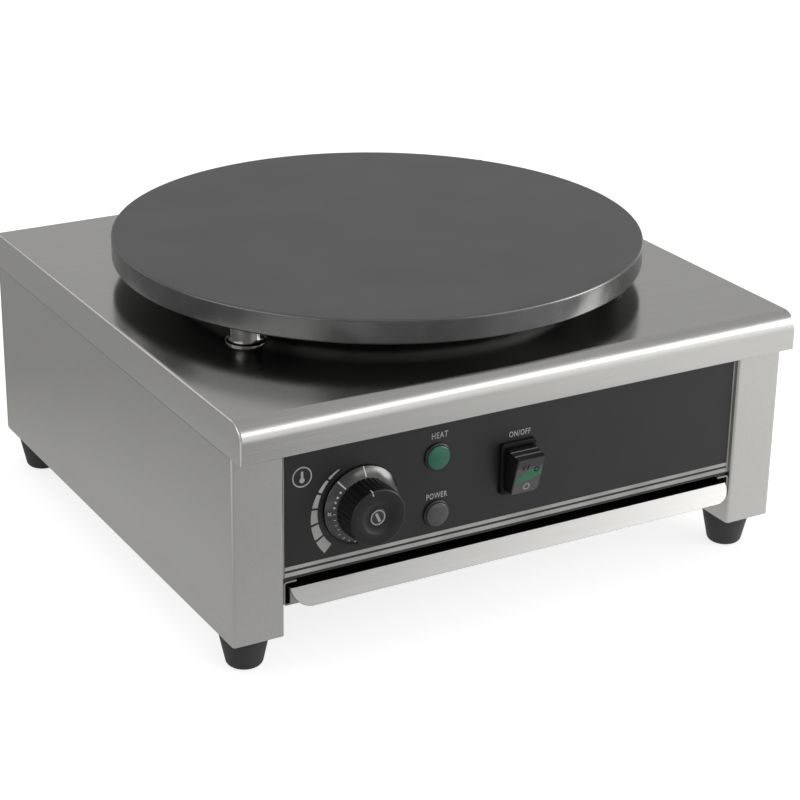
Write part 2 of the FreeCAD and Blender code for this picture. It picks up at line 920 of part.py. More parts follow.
def dial_point(radius, angle, y):
    turn = math.radians(angle)
    return Vector(dial_x + radius * math.cos(turn), y, dial_z + radius * math.sin(turn))


def dial_scale():
    # A heat scale beside the dial: segments that grow wider as the setting rises.
    step = (scale_end_angle - scale_start_angle) / scale_segments
    growth = (scale_end_outer_radius - scale_start_outer_radius) / (scale_end_angle - scale_start_angle)
    segments = []
    for index in range(scale_segments):
        start = scale_start_angle + index * step
        end = start + step - scale_segment_gap
        middle = (start + end) / 2
        outer = [scale_start_outer_radius + growth * (a - scale_start_angle) for a in (start, middle, end)]
        corners = [dial_point(scale_inner_radius, start, overlay_y), dial_point(outer[0], start, overlay_y),
                   dial_point(outer[2], end, overlay_y), dial_point(scale_inner_radius, end, overlay_y)]
        edges = [Part.LineSegment(corners[0], corners[1]).toShape(),
                 Part.Arc(corners[1], dial_point(outer[1], middle, overlay_y), corners[2]).toShape(),
                 Part.LineSegment(corners[2], corners[3]).toShape(),
                 Part.Arc(corners[3], dial_point(scale_inner_radius, middle, overlay_y), corners[0]).toShape()]
        segments.append(Part.Face(Part.Wire(edges)).extrude(Vector(0, -print_thickness, 0)))
    return segments


def heat_symbol():
    # A plain thermometer in a ring, beside the scale.
    icon_z = bottom_z + icon_height
    span = (overlay_y - print_thickness, overlay_y)
    ring = level(icon_radius, icon_x, icon_z, span).cut(level(icon_radius - icon_line, icon_x, icon_z, span))
    bulb_z = icon_z - icon_bulb_drop
    bulb = level(icon_bulb_radius, icon_x, bulb_z, span)
    stem = box((icon_x - icon_line, icon_x + icon_line), span, (bulb_z, icon_z + icon_stem_height))
    return [ring, joined([bulb, stem])]


def panel_print():
    # Everything that is printed on the overlay.
    return Part.makeCompound(printed_stripes() + dial_scale() + heat_symbol())


def panel_screws():
    screws = []
    for side in (-1, 1):
        for height in panel_screw_heights:
            seat = Vector(side * (post_inner_x + sheet), panel_screw_y(), bottom_z + height)
            screws.append(screw(panel_screw_head_radius, panel_screw_head_height, panel_screw_radius,
                                panel_screw_length, seat, Vector(-side, 0, 0)))
    return Part.makeCompound(screws)


def deck_plate():
    # The floor of the electrical bay, which is also the roof over the drawer.
    back = wall_back_y - sheet - joint_gap
    main = box((-deck_half, deck_half), (front_y + post_return + joint_gap, back), (deck_z, deck_top_z))
    nose = box((-panel_half + joint_gap, panel_half - joint_gap), (panel_y + joint_gap, back),
               (deck_z, deck_top_z))
    solids = [main, nose]
    for side in (-1, 1):
        solids.append(box((side * deck_half, side * (deck_half - sheet)),
                          (front_y + post_return + joint_gap, back), (deck_z, deck_z + deck_flange)))
    return joined(solids)


def drawer_runner():
    # The right-hand channel that the drawer's floor slides on.
    start = front_y + runner_front_inset
    length = rear_rail_y - joint_gap - start
    section = [(runner_x - runner_flange, deck_z), (runner_x, deck_z), (runner_x, runner_z),
               (runner_x - runner_ledge, runner_z)]
    return folded_sheet(section[::-1], sheet, lambda a, b: Vector(a, start, b), Vector(0, length, 0))


def rear_rail():
    # A channel across the back that ties the sides together and stops the drawer.
    half = post_inner_x + sheet - joint_gap
    section = [(rear_rail_y + rear_rail_width, deck_z), (rear_rail_y, deck_z), (rear_rail_y, bottom_z),
               (rear_rail_y + rear_rail_width, bottom_z)]
    return folded_sheet(section, sheet, lambda a, b: Vector(-half, a, b), Vector(2 * half, 0, 0))


def back_screws():
    screws = []
    for x in (-half_width + back_screw_inset, half_width - back_screw_inset):
        for height in back_screw_heights:
            screws.append(screw(back_screw_head_radius, back_screw_head_height, back_screw_radius,
                                back_screw_length, Vector(x, back_y, bottom_z + height), Vector(0, -1, 0)))
    return Part.makeCompound(screws)


def cover_screws():
    screws = []
    for x in cover_screw_places():
        seat = Vector(x, back_y, seam_z + cover_screw_drop)
        screws.append(screw(back_screw_head_radius, back_screw_head_height, back_screw_radius,
                            back_screw_length, seat, Vector(0, -1, 0)))
    return Part.makeCompound(screws)


# Feet

def foot(place):
    x, y = place
    body = tapered(foot_floor_radius, foot_top_radius, Vector(x, y, 0), Vector(0, 0, 1), foot_height)
    low_edge = [e for e in body.Edges if len(e.Vertexes) == 1 and e.BoundBox.ZMax < foot_height / 2]
    body = body.makeFillet(foot_edge_round, low_edge)
    body = body.cut(upright(foot_recess_radius, x, y, (0, foot_recess_depth)))
    return body.cut(upright(foot_screw_radius + joint_gap, x, y, (0, foot_height)))


def foot_washers():
    rings = []
    span = (foot_recess_depth - foot_washer_thickness, foot_recess_depth)
    for x, y in foot_places().values():
        ring = upright(foot_washer_radius, x, y, span)
        rings.append(ring.cut(upright(foot_screw_radius + joint_gap, x, y, span)))
    return Part.makeCompound(rings)


def foot_screws():
    screws = []
    seat_z = foot_recess_depth - foot_washer_thickness
    length = bottom_z + sheet + foot_nut_height + foot_screw_tail - seat_z
    for x, y in foot_places().values():
        screws.append(screw(foot_screw_head_radius, foot_screw_head_height, foot_screw_radius, length,
                            Vector(x, y, seat_z), Vector(0, 0, 1)))
    return Part.makeCompound(screws)


def foot_nuts():
    nuts = []
    for x, y in foot_places().values():
        nuts.append(drilled_nut(foot_nut_width, foot_nut_height, foot_screw_radius + thread_clearance,
                                Vector(x, y, bottom_z + sheet), Vector(0, 0, 1)))
    return Part.makeCompound(nuts)


# Thermostat, dial and temperature bulb

def thermostat_body():
    # The control's case, its fixing plate and the bush that guides the spindle.
    plate_span = (panel_back_y, panel_back_y + thermostat_plate)
    case_back = panel_back_y + thermostat_depth
    half_x = thermostat_width / 2
    half_z = thermostat_height / 2
    plate = box((dial_x - half_x, dial_x + half_x), plate_span, (dial_z - half_z / 2, dial_z + half_z / 2))
    case = box((dial_x - half_x, dial_x + half_x), (plate_span[1], case_back),
               (dial_z - half_z, dial_z + half_z))
    bush = level(bush_radius, dial_x, dial_z, (overlay_y, plate_span[1]))
    body = joined([plate, case, bush])
    bore_back = case_back - thermostat_depth / 2
    body = body.cut(level(shaft_radius + shaft_clearance, dial_x, dial_z, (overlay_y, bore_back)))
    for side in (-1, 1):
        x = dial_x + side * thermostat_screw_spacing / 2
        hole_back = panel_back_y + thermostat_screw_length + joint_gap
        body = body.cut(level(thermostat_screw_radius + thread_clearance, x, dial_z, (panel_back_y, hole_back)))
    return body


def thermostat_screws():
    screws = []
    for side in (-1, 1):
        seat = Vector(dial_x + side * thermostat_screw_spacing / 2, overlay_y, dial_z)
        screws.append(screw(thermostat_screw_head_radius, thermostat_screw_head_height,
                            thermostat_screw_radius, thermostat_screw_length, seat, Vector(0, 1, 0)))
    return Part.makeCompound(screws)


def flatted_shaft(radius, y_span):
    rod = level(radius, dial_x, dial_z, y_span)
    grip_end = min(y_span) + shaft_into_grip
    flat = box((dial_x - radius, dial_x + radius), (min(y_span), grip_end),
               (dial_z + radius - shaft_flat, dial_z + radius))
    return rod.cut(flat)


def dial_spindle():
    spindle_back = panel_back_y + thermostat_depth / 2 - joint_gap
    return flatted_shaft(shaft_radius, (spindle_start_y(), spindle_back))


def spindle_start_y():
    return overlay_y - skirt_gap - shaft_into_grip


def skirt_front_y():
    return overlay_y - skirt_gap - skirt_thickness


def dial_skirt():
    # The conical collar that carries the settings.
    back = overlay_y - skirt_gap
    cone = tapered(skirt_radius, skirt_top_radius, Vector(dial_x, back, dial_z), Vector(0, -1, 0),
                   skirt_thickness)
    lip = level(skirt_radius, dial_x, dial_z, (back - skirt_edge, back))
    collar = joined([cone, lip])
    room = thermostat_screw_spacing / 2 + thermostat_screw_head_radius + skirt_screw_room
    hollow = level(room, dial_x, dial_z, (back - skirt_thickness / 2, back))
    hub = level(bush_radius, dial_x, dial_z, (back - skirt_thickness / 2, back))
    collar = collar.cut(hollow.cut(hub))
    return collar.cut(level(shaft_radius + thread_clearance, dial_x, dial_z, (skirt_front_y(), back)))


def dial_grip():
    # The knurled grip with a shallow dish in its face.
    start = skirt_front_y()
    length = start - dial_front_y
    body = tapered(grip_radius, grip_front_radius, Vector(dial_x, start, dial_z), Vector(0, -1, 0), length)
    front = [e for e in body.Edges if len(e.Vertexes) == 1 and e.BoundBox.YMax < start - length / 2]
    body = body.makeFillet(grip_front_round, front)
    flutes = []
    for index in range(grip_flutes):
        angle = 360.0 / grip_flutes * index
        foot_point = dial_point(grip_radius + grip_flute_radius / 2, angle, start)
        flutes.append(Part.makeCylinder(grip_flute_radius, length, foot_point, Vector(0, -1, 0)))
    body = body.cut(Part.makeCompound(flutes))
    dish_ball = dish_radius ** 2 / (2 * dish_depth) + dish_depth / 2
    centre = Vector(dial_x, dial_front_y - dish_ball + dish_depth, dial_z)
    body = body.cut(Part.makeSphere(dish_ball, centre))
    seat = dial_front_y + dish_depth
    body = body.cut(level(cap_radius + thread_clearance, dial_x, dial_z, (dial_front_y, seat + cap_thickness)))
    return body.cut(flatted_shaft(shaft_radius + thread_clearance, (spindle_start_y() - contact_gap, start)))


def dial_cap():
    seat = dial_front_y + dish_depth
    return level(cap_radius, dial_x, dial_z, (seat - cap_stand, seat + cap_thickness))


def temperature_bulb():
    # The sensing bulb under the plate, with the fine tube that runs to the thermostat.
    bulb_z = recess_z - contact_gap - bulb_radius
    half = bulb_length / 2
    bulb = level(bulb_radius, bulb_x, bulb_z, (-half, half))
    run_z = bottom_z + capillary_run_height
    thermostat_back = panel_back_y + thermostat_depth
    turn_y = thermostat_back + capillary_slack
    route = [Vector(bulb_x, half - bulb_radius, bulb_z), Vector(bulb_x, capillary_drop_y, bulb_z),
             Vector(bulb_x, capillary_drop_y, run_z), Vector(bulb_x, turn_y, run_z),
             Vector(dial_x, turn_y, run_z), Vector(dial_x, turn_y, dial_z),
             Vector(dial_x, thermostat_back, dial_z)]
    radii = [0.0] + [capillary_bend] * (len(route) - 2) + [0.0]
    return joined([bulb, bent_tube(route, radii, capillary_radius)])


# Lamps

def lamp_bezel(height):
    # The lamp's collar and its threaded barrel, open at the front for the lens.
    z = bottom_z + height
    front = overlay_y - lamp_bezel_height
    collar = level(lamp_bezel_radius, lamp_x, z, (front, overlay_y))
    edge = [e for e in collar.Edges if len(e.Vertexes) == 1 and e.BoundBox.YMax < (front + overlay_y) / 2]
    collar = collar.makeFillet(lamp_bezel_height / 2, edge)
    barrel = level(lamp_barrel_radius, lamp_x, z, (overlay_y, panel_back_y + lamp_barrel_length))
    tabs = []
    back = panel_back_y + lamp_barrel_length
    for side in (-1, 1):
        x = lamp_x + side * lamp_barrel_radius / 2
        tabs.append(box((x - lamp_tab_thickness / 2, x + lamp_tab_thickness / 2),
                        (back, back + lamp_tab_length), (z - lamp_tab_width / 2, z + lamp_tab_width / 2)))
    body = joined([collar, barrel] + tabs)
    return body.cut(level(lens_stem_radius() + joint_gap, lamp_x, z, (front, panel_back_y + lamp_barrel_length / 2)))


def lens_stem_radius():
    return lamp_barrel_radius - lamp_barrel_wall


def lamp_lens(height):
    # A domed lens on a stem that sits in the barrel.
    z = bottom_z + height
    seat = overlay_y - lamp_bezel_height
    rise = lamp_lens_reach - lamp_bezel_height
    ball = (lamp_lens_radius ** 2 + rise ** 2) / (2 * rise)
    dome = Part.makeSphere(ball, Vector(lamp_x, seat + ball - rise, z))
    dome = dome.common(level(lamp_lens_radius, lamp_x, z, (seat - 2 * rise, seat)))
    stem = level(lens_stem_radius(), lamp_x, z, (seat, panel_back_y + lamp_barrel_length / 2 - joint_gap))
    return joined([dome, stem])


def lamp_nuts():
    nuts = []
    span = (panel_back_y, panel_back_y + lamp_nut_height)
    for height in (heat_lamp_height, power_lamp_height):
        z = bottom_z + height
        ring = level(lamp_nut_radius, lamp_x, z, span)
        nuts.append(ring.cut(level(lamp_barrel_radius + thread_clearance, lamp_x, z, span)))
    return Part.makeCompound(nuts)


# Rocker switch

def switch_housing():
    # The frame on the panel and the case behind it, hollow round the rocker.
    half_x = bezel_width / 2
    half_z = bezel_tall / 2
    front = overlay_y - bezel_thickness
    corners = [Vector(switch_x + i * half_x, front, switch_z + j * half_z)
               for i, j in ((-1, -1), (1, -1), (1, 1), (-1, 1))]
    frame = prism(corners, [bezel_round] * 4, Vector(0, bezel_thickness, 0))
    rim = [e for e in frame.Edges if e.BoundBox.YMax < front + bezel_thickness / 2]
    frame = frame.makeFillet(bezel_thickness / 3, rim)
    case_x = switch_body_width / 2
    case_z = switch_body_tall / 2
    case = box((switch_x - case_x, switch_x + case_x), (overlay_y, overlay_y + switch_body_depth),
               (switch_z - case_z, switch_z + case_z))
    solids = [frame, case]
    case_back = overlay_y + switch_body_depth
    for index in (-1, 0, 1):
        z = switch_z + index * switch_tab_pitch
        solids.append(box((switch_x - switch_tab_width / 2, switch_x + switch_tab_width / 2),
                          (case_back, case_back + switch_tab_length),
                          (z - switch_tab_thickness / 2, z + switch_tab_thickness / 2)))
    body = joined(solids)
    room_x = rocker_width / 2 + rocker_side_clearance
    room_z = rocker_drum_radius + joint_gap
    room_back = pivot_y + rocker_travel_depth
    body = body.cut(box((switch_x - room_x, switch_x + room_x), (front, room_back),
                        (switch_z - room_z, switch_z + room_z)))
    pin_reach = rocker_width / 2 + rocker_pin_length + joint_gap
    return body.cut(crosswise(rocker_pin_radius + rocker_pin_clearance, pivot_y, switch_z,
                              (switch_x - pin_reach, switch_x + pin_reach)))


def rocker_profile():
    # Corners of the rocker's side view: reach from the panel, and height from the pivot.
    neck = bezel_thickness + joint_gap
    neck_height = math.sqrt(rocker_drum_radius ** 2 - (neck + rocker_pivot_depth) ** 2)
    back = rocker_back_depth
    back_height = math.sqrt(rocker_drum_radius ** 2 - back ** 2)
    return neck, neck_height, back, back_height


def rocker_corner(reach, height, x):
    return Vector(x, overlay_y - reach, switch_z + height)


def switch_rocker():
    # A rounded drum in the frame with a stepped, sloping head in front of it.
    neck, neck_height, back, back_height = rocker_profile()
    left = switch_x - rocker_width / 2
    start = rocker_corner(-rocker_pivot_depth - back, back_height, left)
    top_neck = rocker_corner(neck, neck_height, left)
    low_neck = rocker_corner(neck, -neck_height, left)
    low_back = rocker_corner(-rocker_pivot_depth - back, -back_height, left)
    top_middle = rocker_corner(-rocker_pivot_depth, rocker_drum_radius, left)
    low_middle = rocker_corner(-rocker_pivot_depth, -rocker_drum_radius, left)
    front_top = rocker_corner(rocker_top_reach, rocker_top_height, left)
    front_low = rocker_corner(rocker_foot_reach, -rocker_foot_height, left)
    edges = [Part.Arc(start, top_middle, top_neck).toShape(),
             Part.LineSegment(top_neck, front_top).toShape(),
             Part.LineSegment(front_top, front_low).toShape(),
             Part.LineSegment(front_low, low_neck).toShape(),
             Part.Arc(low_neck, low_middle, low_back).toShape(),
             Part.LineSegment(low_back, start).toShape()]
    body = Part.Face(Part.Wire(edges)).extrude(Vector(rocker_width, 0, 0))
    window = window_block(0.0)
    body = body.cut(window)
    pins = [crosswise(rocker_pin_radius, pivot_y, switch_z,
                      (switch_x + side * rocker_width / 2,
                       switch_x + side * (rocker_width / 2 + rocker_pin_length))) for side in (-1, 1)]
    return joined([body] + pins)


def window_block(shrink):
    # The lens that lies in the rocker's face, as a slab parallel to that face.
    inset = rocker_window_inset
    rise = rocker_top_height + rocker_foot_height
    run = rocker_top_reach - rocker_foot_reach
    length = math.hypot(rise, run)
    along = Vector(0, -run / length, rise / length)
    inward = Vector(0, rise / length, run / length)
    low = rocker_corner(rocker_foot_reach, -rocker_foot_height, switch_x) + along * (inset + shrink)
    high = low + along * (length - 2 * inset - 2 * shrink)
    across = Vector(rocker_width / 2 - inset - shrink, 0, 0)
    corners = [low - across, low + across, high + across, high - across]
    face = Part.Face(Part.makePolygon(corners + corners[:1]))
    return face.extrude(inward * (rocker_window_thickness - shrink))


def rocker_window():
    return window_block(thread_clearance)


# Drawer

def drawer_tray():
    # A shallow crumb tray whose front edge is folded over into a sloping pull.
    outer = box((-tray_half_width, tray_half_width), (front_y, front_y + tray_depth),
                (tray_low_z, tray_top_z))
    uprights = [e for e in outer.Edges if e.BoundBox.ZLength > tray_sheet]
    outer = outer.makeFillet(tray_corner_round, uprights)
    inner = box((-tray_half_width + tray_sheet, tray_half_width - tray_sheet),
                (front_y + tray_sheet, front_y + tray_depth - tray_sheet),
                (tray_low_z + tray_sheet, tray_top_z))
    corners = [e for e in inner.Edges if e.BoundBox.ZLength > tray_sheet]
    inner = inner.makeFillet(tray_corner_round - tray_sheet, corners)
    tray = outer.cut(inner)
    lip_length = math.hypot(lip_reach, lip_drop)
    down = Vector(0, -lip_reach / lip_length, -lip_drop / lip_length)
    behind = Vector(0, lip_drop / lip_length, -lip_reach / lip_length)
    top_left = Vector(-tray_half_width, front_y, tray_top_z)
    top_right = Vector(tray_half_width, front_y, tray_top_z)
    outline = [top_left, top_right, top_right + down * lip_length, top_left + down * lip_length]
    lip = prism(outline, [0, 0, lip_corner_round, lip_corner_round], behind * tray_sheet)
    return joined([tray, lip])


# Cord gland and terminals

def gland_body():
    # The gland's threaded sleeve and hexagonal flange; the cord itself is left out.
    outward = Vector(0, 1, 0)
    flange = hexagon(gland_flange_width, Vector(gland_x, back_y, gland_z), outward, gland_flange_thickness)
    inner_end = back_y - sheet - gland_inner_length
    outer_end = back_y + gland_reach - gland_nose_length
    sleeve = level(gland_thread_radius, gland_x, gland_z, (inner_end, outer_end))
    body = joined([flange, sleeve])
    return body.cut(level(gland_bore_radius, gland_x, gland_z, (inner_end, outer_end)))


def gland_nut():
    # The domed clamping nut on the gland's outer end.
    start = back_y + gland_flange_thickness + joint_gap
    shoulder = back_y + gland_reach - gland_nose_length
    nut = hexagon(gland_nut_width, Vector(gland_x, start, gland_z), Vector(0, 1, 0), shoulder - start)
    nose = tapered(gland_nut_width / 2, gland_nose_radius, Vector(gland_x, shoulder, gland_z),
                   Vector(0, 1, 0), gland_nose_length)
    body = joined([nut, nose])
    thread_end = shoulder + thread_clearance
    body = body.cut(level(gland_thread_radius + thread_clearance, gland_x, gland_z, (start, thread_end)))
    return body.cut(level(gland_bore_radius + joint_gap, gland_x, gland_z, (start, back_y + gland_reach)))


def gland_locknut():
    base = Vector(gland_x, back_y - sheet - gland_locknut_height, gland_z)
    return drilled_nut(gland_locknut_width, gland_locknut_height, gland_thread_radius + thread_clearance,
                       base, Vector(0, 1, 0))


def terminal_centres():
    middle = (block_ways - 1) / 2
    return [block_x + (way - middle) * block_pitch for way in range(block_ways)]


def terminal_block():
    half = block_ways * block_pitch / 2 + block_end_margin
    cell = (block_pitch - block_cell_gap) / 2
    cell_depth = block_depth / 2 - block_cell_inset
    base = box((block_x - half, block_x + half), (block_y - block_depth / 2, block_y + block_depth / 2),
               (deck_top_z, deck_top_z + block_base))
    solids = [base]
    for x in terminal_centres():
        solids.append(box((x - cell, x + cell), (block_y - cell_depth, block_y + cell_depth),
                          (deck_top_z + block_base, deck_top_z + block_tall)))
    body = joined(solids)
    for x in terminal_centres():
        for side in (-1, 1):
            body = body.cut(upright(block_screw_radius + thread_clearance, x, block_y + side * block_depth / 4,
                                    (deck_top_z + block_tall - block_screw_height, deck_top_z + block_tall)))
    return body


def terminal_screws():
    top = deck_top_z + block_tall
    screws = []
    for x in terminal_centres():
        for side in (-1, 1):
            screws.append(upright(block_screw_radius, x, block_y + side * block_depth / 4,
                                  (top - block_screw_height, top - block_screw_sink)))
    return Part.makeCompound(screws)


def earth_terminal():
    # A stud on the deck with two nuts that clamp the earth leads.
    nuts = [upright(earth_stud_radius, earth_x, earth_y, (deck_top_z, deck_top_z + earth_stud_length))]
    for low in (deck_top_z, deck_top_z + earth_nut_height + earth_nut_gap):
        nuts.append(drilled_nut(earth_nut_width, earth_nut_height, earth_stud_radius + thread_clearance,
                                Vector(earth_x, earth_y, low), Vector(0, 0, 1)))
    return Part.makeCompound(nuts)


def wiring():
    # Insulated leads: from the terminal block to the switch, and from the thermostat to the elements.
    return Part.makeCompound(switch_leads() + element_leads())


def switch_leads():
    start_y = block_y - block_depth / 2 + block_cell_inset
    switch_back = overlay_y + switch_body_depth + switch_tab_length
    entry_z = deck_top_z + wire_entry_height
    leads = []
    for index, x in enumerate(terminal_centres()[:2]):
        tab_z = switch_z + (index - 1) * switch_tab_pitch
        turn_y = switch_back + wire_turn_room + wire_spacing * index
        leads.append(lead([Vector(x, start_y, entry_z), Vector(x, turn_y, entry_z),
                           Vector(switch_x, turn_y, entry_z), Vector(switch_x, turn_y, tab_z),
                           Vector(switch_x, switch_back, tab_z)]))
    return leads


def element_leads():
    thermostat_back = panel_back_y + thermostat_depth
    turn_y = thermostat_back + wire_thermostat_room
    tip_z = element_z - lead_drop - lead_tip_length
    end_z = dial_z - wire_thermostat_drop
    leads = []
    for index, side in enumerate((-1, 1)):
        low_z = deck_top_z + wire_floor_gap + wire_spacing * index
        x = side * outer_lead_spacing / 2
        end_x = dial_x - side * thermostat_width / 4
        leads.append(lead([Vector(x, outer_lead_y, tip_z), Vector(x, outer_lead_y, low_z),
                           Vector(end_x, outer_lead_y, low_z), Vector(end_x, turn_y, low_z),
                           Vector(end_x, turn_y, end_z), Vector(end_x, thermostat_back, end_z)]))
    return leads


def lead(route):
    return bent_tube(route, [0.0] + [wire_bend] * (len(route) - 2) + [0.0], wire_radius)


def all_parts():
    parts = {
        "griddle_plate": griddle_plate(),
        "outer_heating_element": heating_element(outer_loop_radius, outer_lead_spacing, outer_lead_y),
        "inner_heating_element": heating_element(inner_loop_radius, inner_lead_spacing, inner_lead_y),
        "element_clamp": element_clamp(),
        "insulation_pad": insulation_pad(),
        "heat_shield": heat_shield(),
        "clamp_bolts": clamp_bolts(),
        "overheat_cutout": overheat_cutout(),
        "plate_spacers": plate_spacers(),
        "plate_studs": plate_studs(),
        "stud_washers": stud_washers(),
        "stud_nuts": stud_nuts(),
        "top_cover": top_cover(),
        "side_panel_right": side_panel(),
        "side_panel_left": mirrored_in_x(side_panel()),
        "back_panel": back_panel(),
        "front_panel": front_panel(),
        "control_overlay": control_overlay(),
        "panel_print": panel_print(),
        "panel_screws": panel_screws(),
        "deck_plate": deck_plate(),
        "drawer_runner_right": drawer_runner(),
        "drawer_runner_left": mirrored_in_x(drawer_runner()),
        "rear_rail": rear_rail(),
        "back_screws": back_screws(),
        "cover_screws": cover_screws(),
        "foot_washers": foot_washers(),
        "foot_screws": foot_screws(),
        "foot_nuts": foot_nuts(),
        "thermostat_body": thermostat_body(),
        "thermostat_screws": thermostat_screws(),
        "dial_spindle": dial_spindle(),
        "dial_skirt": dial_skirt(),
        "dial_grip": dial_grip(),
        "dial_cap": dial_cap(),
        "temperature_bulb": temperature_bulb(),
        "lamp_nuts": lamp_nuts(),
        "switch_housing": switch_housing(),
        "switch_rocker": switch_rocker(),
        "rocker_window": rocker_window(),
        "drawer_tray": drawer_tray(),
        "gland_body": gland_body(),
        "gland_nut": gland_nut(),
        "gland_locknut": gland_locknut(),
        "terminal_block": terminal_block(),
        "terminal_screws": terminal_screws(),
        "earth_terminal": earth_terminal(),
        "wiring": wiring(),
    }
    for side, place in foot_places().items():
        parts["foot_" + side] = foot(place)
    for index, y in enumerate(support_rows()):
        parts["support_bar_" + ("front", "rear")[index]] = support_bar(y)
    for name, height in (("heat", heat_lamp_height), ("power", power_lamp_height)):
        parts[name + "_lamp_bezel"] = lamp_bezel(height)
        parts[name + "_lamp_lens"] = lamp_lens(height)
    return parts


os.makedirs("parts", exist_ok=True)
for name, shape in all_parts().items():
    if not shape.isValid():
        raise ValueError(name + " is not a valid shape")
    shape.exportStep("parts/" + name + ".step")
    print(name, len(shape.Solids), "solid(s)", round(shape.Volume / 1000, 2), "cm3")
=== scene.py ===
import bmesh
import bpy
import math
from mathutils import Matrix, Vector


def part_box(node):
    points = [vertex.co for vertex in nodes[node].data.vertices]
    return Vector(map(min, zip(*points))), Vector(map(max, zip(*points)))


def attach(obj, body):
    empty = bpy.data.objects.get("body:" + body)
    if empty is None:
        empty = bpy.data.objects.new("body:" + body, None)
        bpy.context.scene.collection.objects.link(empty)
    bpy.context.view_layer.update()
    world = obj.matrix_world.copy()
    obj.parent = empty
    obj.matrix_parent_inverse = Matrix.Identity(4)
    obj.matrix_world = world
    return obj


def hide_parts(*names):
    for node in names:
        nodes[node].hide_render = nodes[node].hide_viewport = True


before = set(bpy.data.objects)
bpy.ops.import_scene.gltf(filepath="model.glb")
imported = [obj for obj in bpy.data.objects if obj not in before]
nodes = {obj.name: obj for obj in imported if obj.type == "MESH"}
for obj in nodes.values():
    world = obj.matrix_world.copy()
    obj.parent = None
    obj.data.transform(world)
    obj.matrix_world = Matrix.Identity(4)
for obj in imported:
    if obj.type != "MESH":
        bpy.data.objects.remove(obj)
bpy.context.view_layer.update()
mm = 0.001  # shapes are worked in millimetres and scaled once
print("stage: frame loaded")

scene = bpy.context.scene
scene.view_settings.view_transform = "Standard"

# camera at the photograph's angle
shot = {
    "place": (-0.794571, -1.412794, 0.764823),
    "turn": (67.319752, -0.838274, -29.678412),
    "lens": 101.3658,
    "sensor": 36.0,
    "nearest": 0.05,
}
cameraData = bpy.data.cameras.new("camera")
cameraData.lens = shot["lens"]
cameraData.sensor_width = shot["sensor"]
cameraData.clip_start = shot["nearest"]
camera = bpy.data.objects.new("camera", cameraData)
camera.location = shot["place"]
camera.rotation_euler = [math.radians(a) for a in shot["turn"]]
scene.collection.objects.link(camera)
scene.camera = camera

# soft studio lamps: place, aim, size, power in watts, whether mirrored, whether lighting
lamps = {
    "keyPanel": ((0.99, -1.64, 1.22), (0.0, -0.1, 0.12), (1.7, 0.62), 5.8, True, True),
    "skyPanel": ((0.1, 0.2, 2.3), (0.0, 0.0, 0.15), (2.2, 1.8), 9, False, True),
    "rightCard": ((1.46, -0.80, 0.58), (-0.12, -0.2, 0.11), (0.8, 0.9), 14, True, False),
    "backCard": ((-0.98, 1.60, 1.05), (0.0, 0.0, 0.19), (0.5, 0.8), 1.5, True, False),
    "leftCard": ((-1.75, -0.30, 0.98), (-0.1, -0.1, 0.18), (2.0, 0.7), 8.0, True, False),
}
for lampName, (place, aim, size, power, mirrored, lighting) in lamps.items():
    lampData = bpy.data.lights.new(lampName, "AREA")
    lampData.shape = "RECTANGLE"
    lampData.size, lampData.size_y = size
    lampData.energy = power
    lamp = bpy.data.objects.new(lampName, lampData)
    lamp.location = place
    lamp.visible_glossy = mirrored  # a lamp that isn't mirrored leaves no patch on the steel
    lamp.visible_diffuse = lighting  # a card that isn't lighting is only seen in shiny parts
    lamp.rotation_euler = (Vector(aim) - Vector(place)).to_track_quat("-Z", "Y").to_euler()
    scene.collection.objects.link(lamp)


# shader node helpers

def newNode(tree, kind, **settings):
    node = tree.nodes.new("ShaderNode" + kind)
    for name, value in settings.items():
        setattr(node, name, value)
    return node


def calculate(tree, operation, first, second):
    # one sum of two values, each a number or another node's output
    node = newNode(tree, "Math", operation=operation)
    for socket, value in zip(node.inputs, (first, second)):
        if isinstance(value, (int, float)):
            socket.default_value = value
        else:
            tree.links.new(value, socket)
    return node.outputs[0]


def vectorSum(tree, operation, vector, other=None):
    node = newNode(tree, "VectorMath", operation=operation)
    tree.links.new(vector, node.inputs[0])
    if other is not None:
        node.inputs[1].default_value = other
    return node


def spread(tree, value, low, high, fromLow=0.3, fromHigh=0.7, course="LINEAR"):
    # maps one range of a value onto another
    node = newNode(tree, "MapRange", interpolation_type=course)
    for name, number in (("From Min", fromLow), ("From Max", fromHigh), ("To Min", low), ("To Max", high)):
        node.inputs[name].default_value = number
    tree.links.new(value, node.inputs["Value"])
    return node.outputs[0]


def lightPathMask(tree, kinds):
    # one where a ray is of one of these kinds
    path = newNode(tree, "LightPath")
    total = path.outputs[kinds[0]]
    for kind in kinds[1:]:
        total = calculate(tree, "MAXIMUM", total, path.outputs[kind])
    return total


seenThrough = ["Is Camera Ray", "Is Transmission Ray"]

# the world is white to the camera, and a graded grey room to everything else
room = {"background": 1.0, "towards": (0.75, -0.66, 0.0), "dimUntil": 0.58, "brightFrom": 0.93,
        "dim": 0.50, "bright": 1.15}
world = bpy.data.worlds.new("room")
world.use_nodes = True
tree = world.node_tree
background = tree.nodes["Background"]
background.inputs["Color"].default_value = (1, 1, 1, 1)
where = newNode(tree, "TexCoord")
facing = vectorSum(tree, "DOT_PRODUCT", where.outputs["Generated"], room["towards"])
pick = newNode(tree, "Mix")
tree.links.new(lightPathMask(tree, seenThrough), pick.inputs["Factor"])
tree.links.new(spread(tree, facing.outputs["Value"], room["dim"], room["bright"],
                      room["dimUntil"], room["brightFrom"], "SMOOTHSTEP"), pick.inputs["A"])
pick.inputs["B"].default_value = room["background"]
tree.links.new(pick.outputs["Result"], background.inputs["Strength"])
scene.world = world

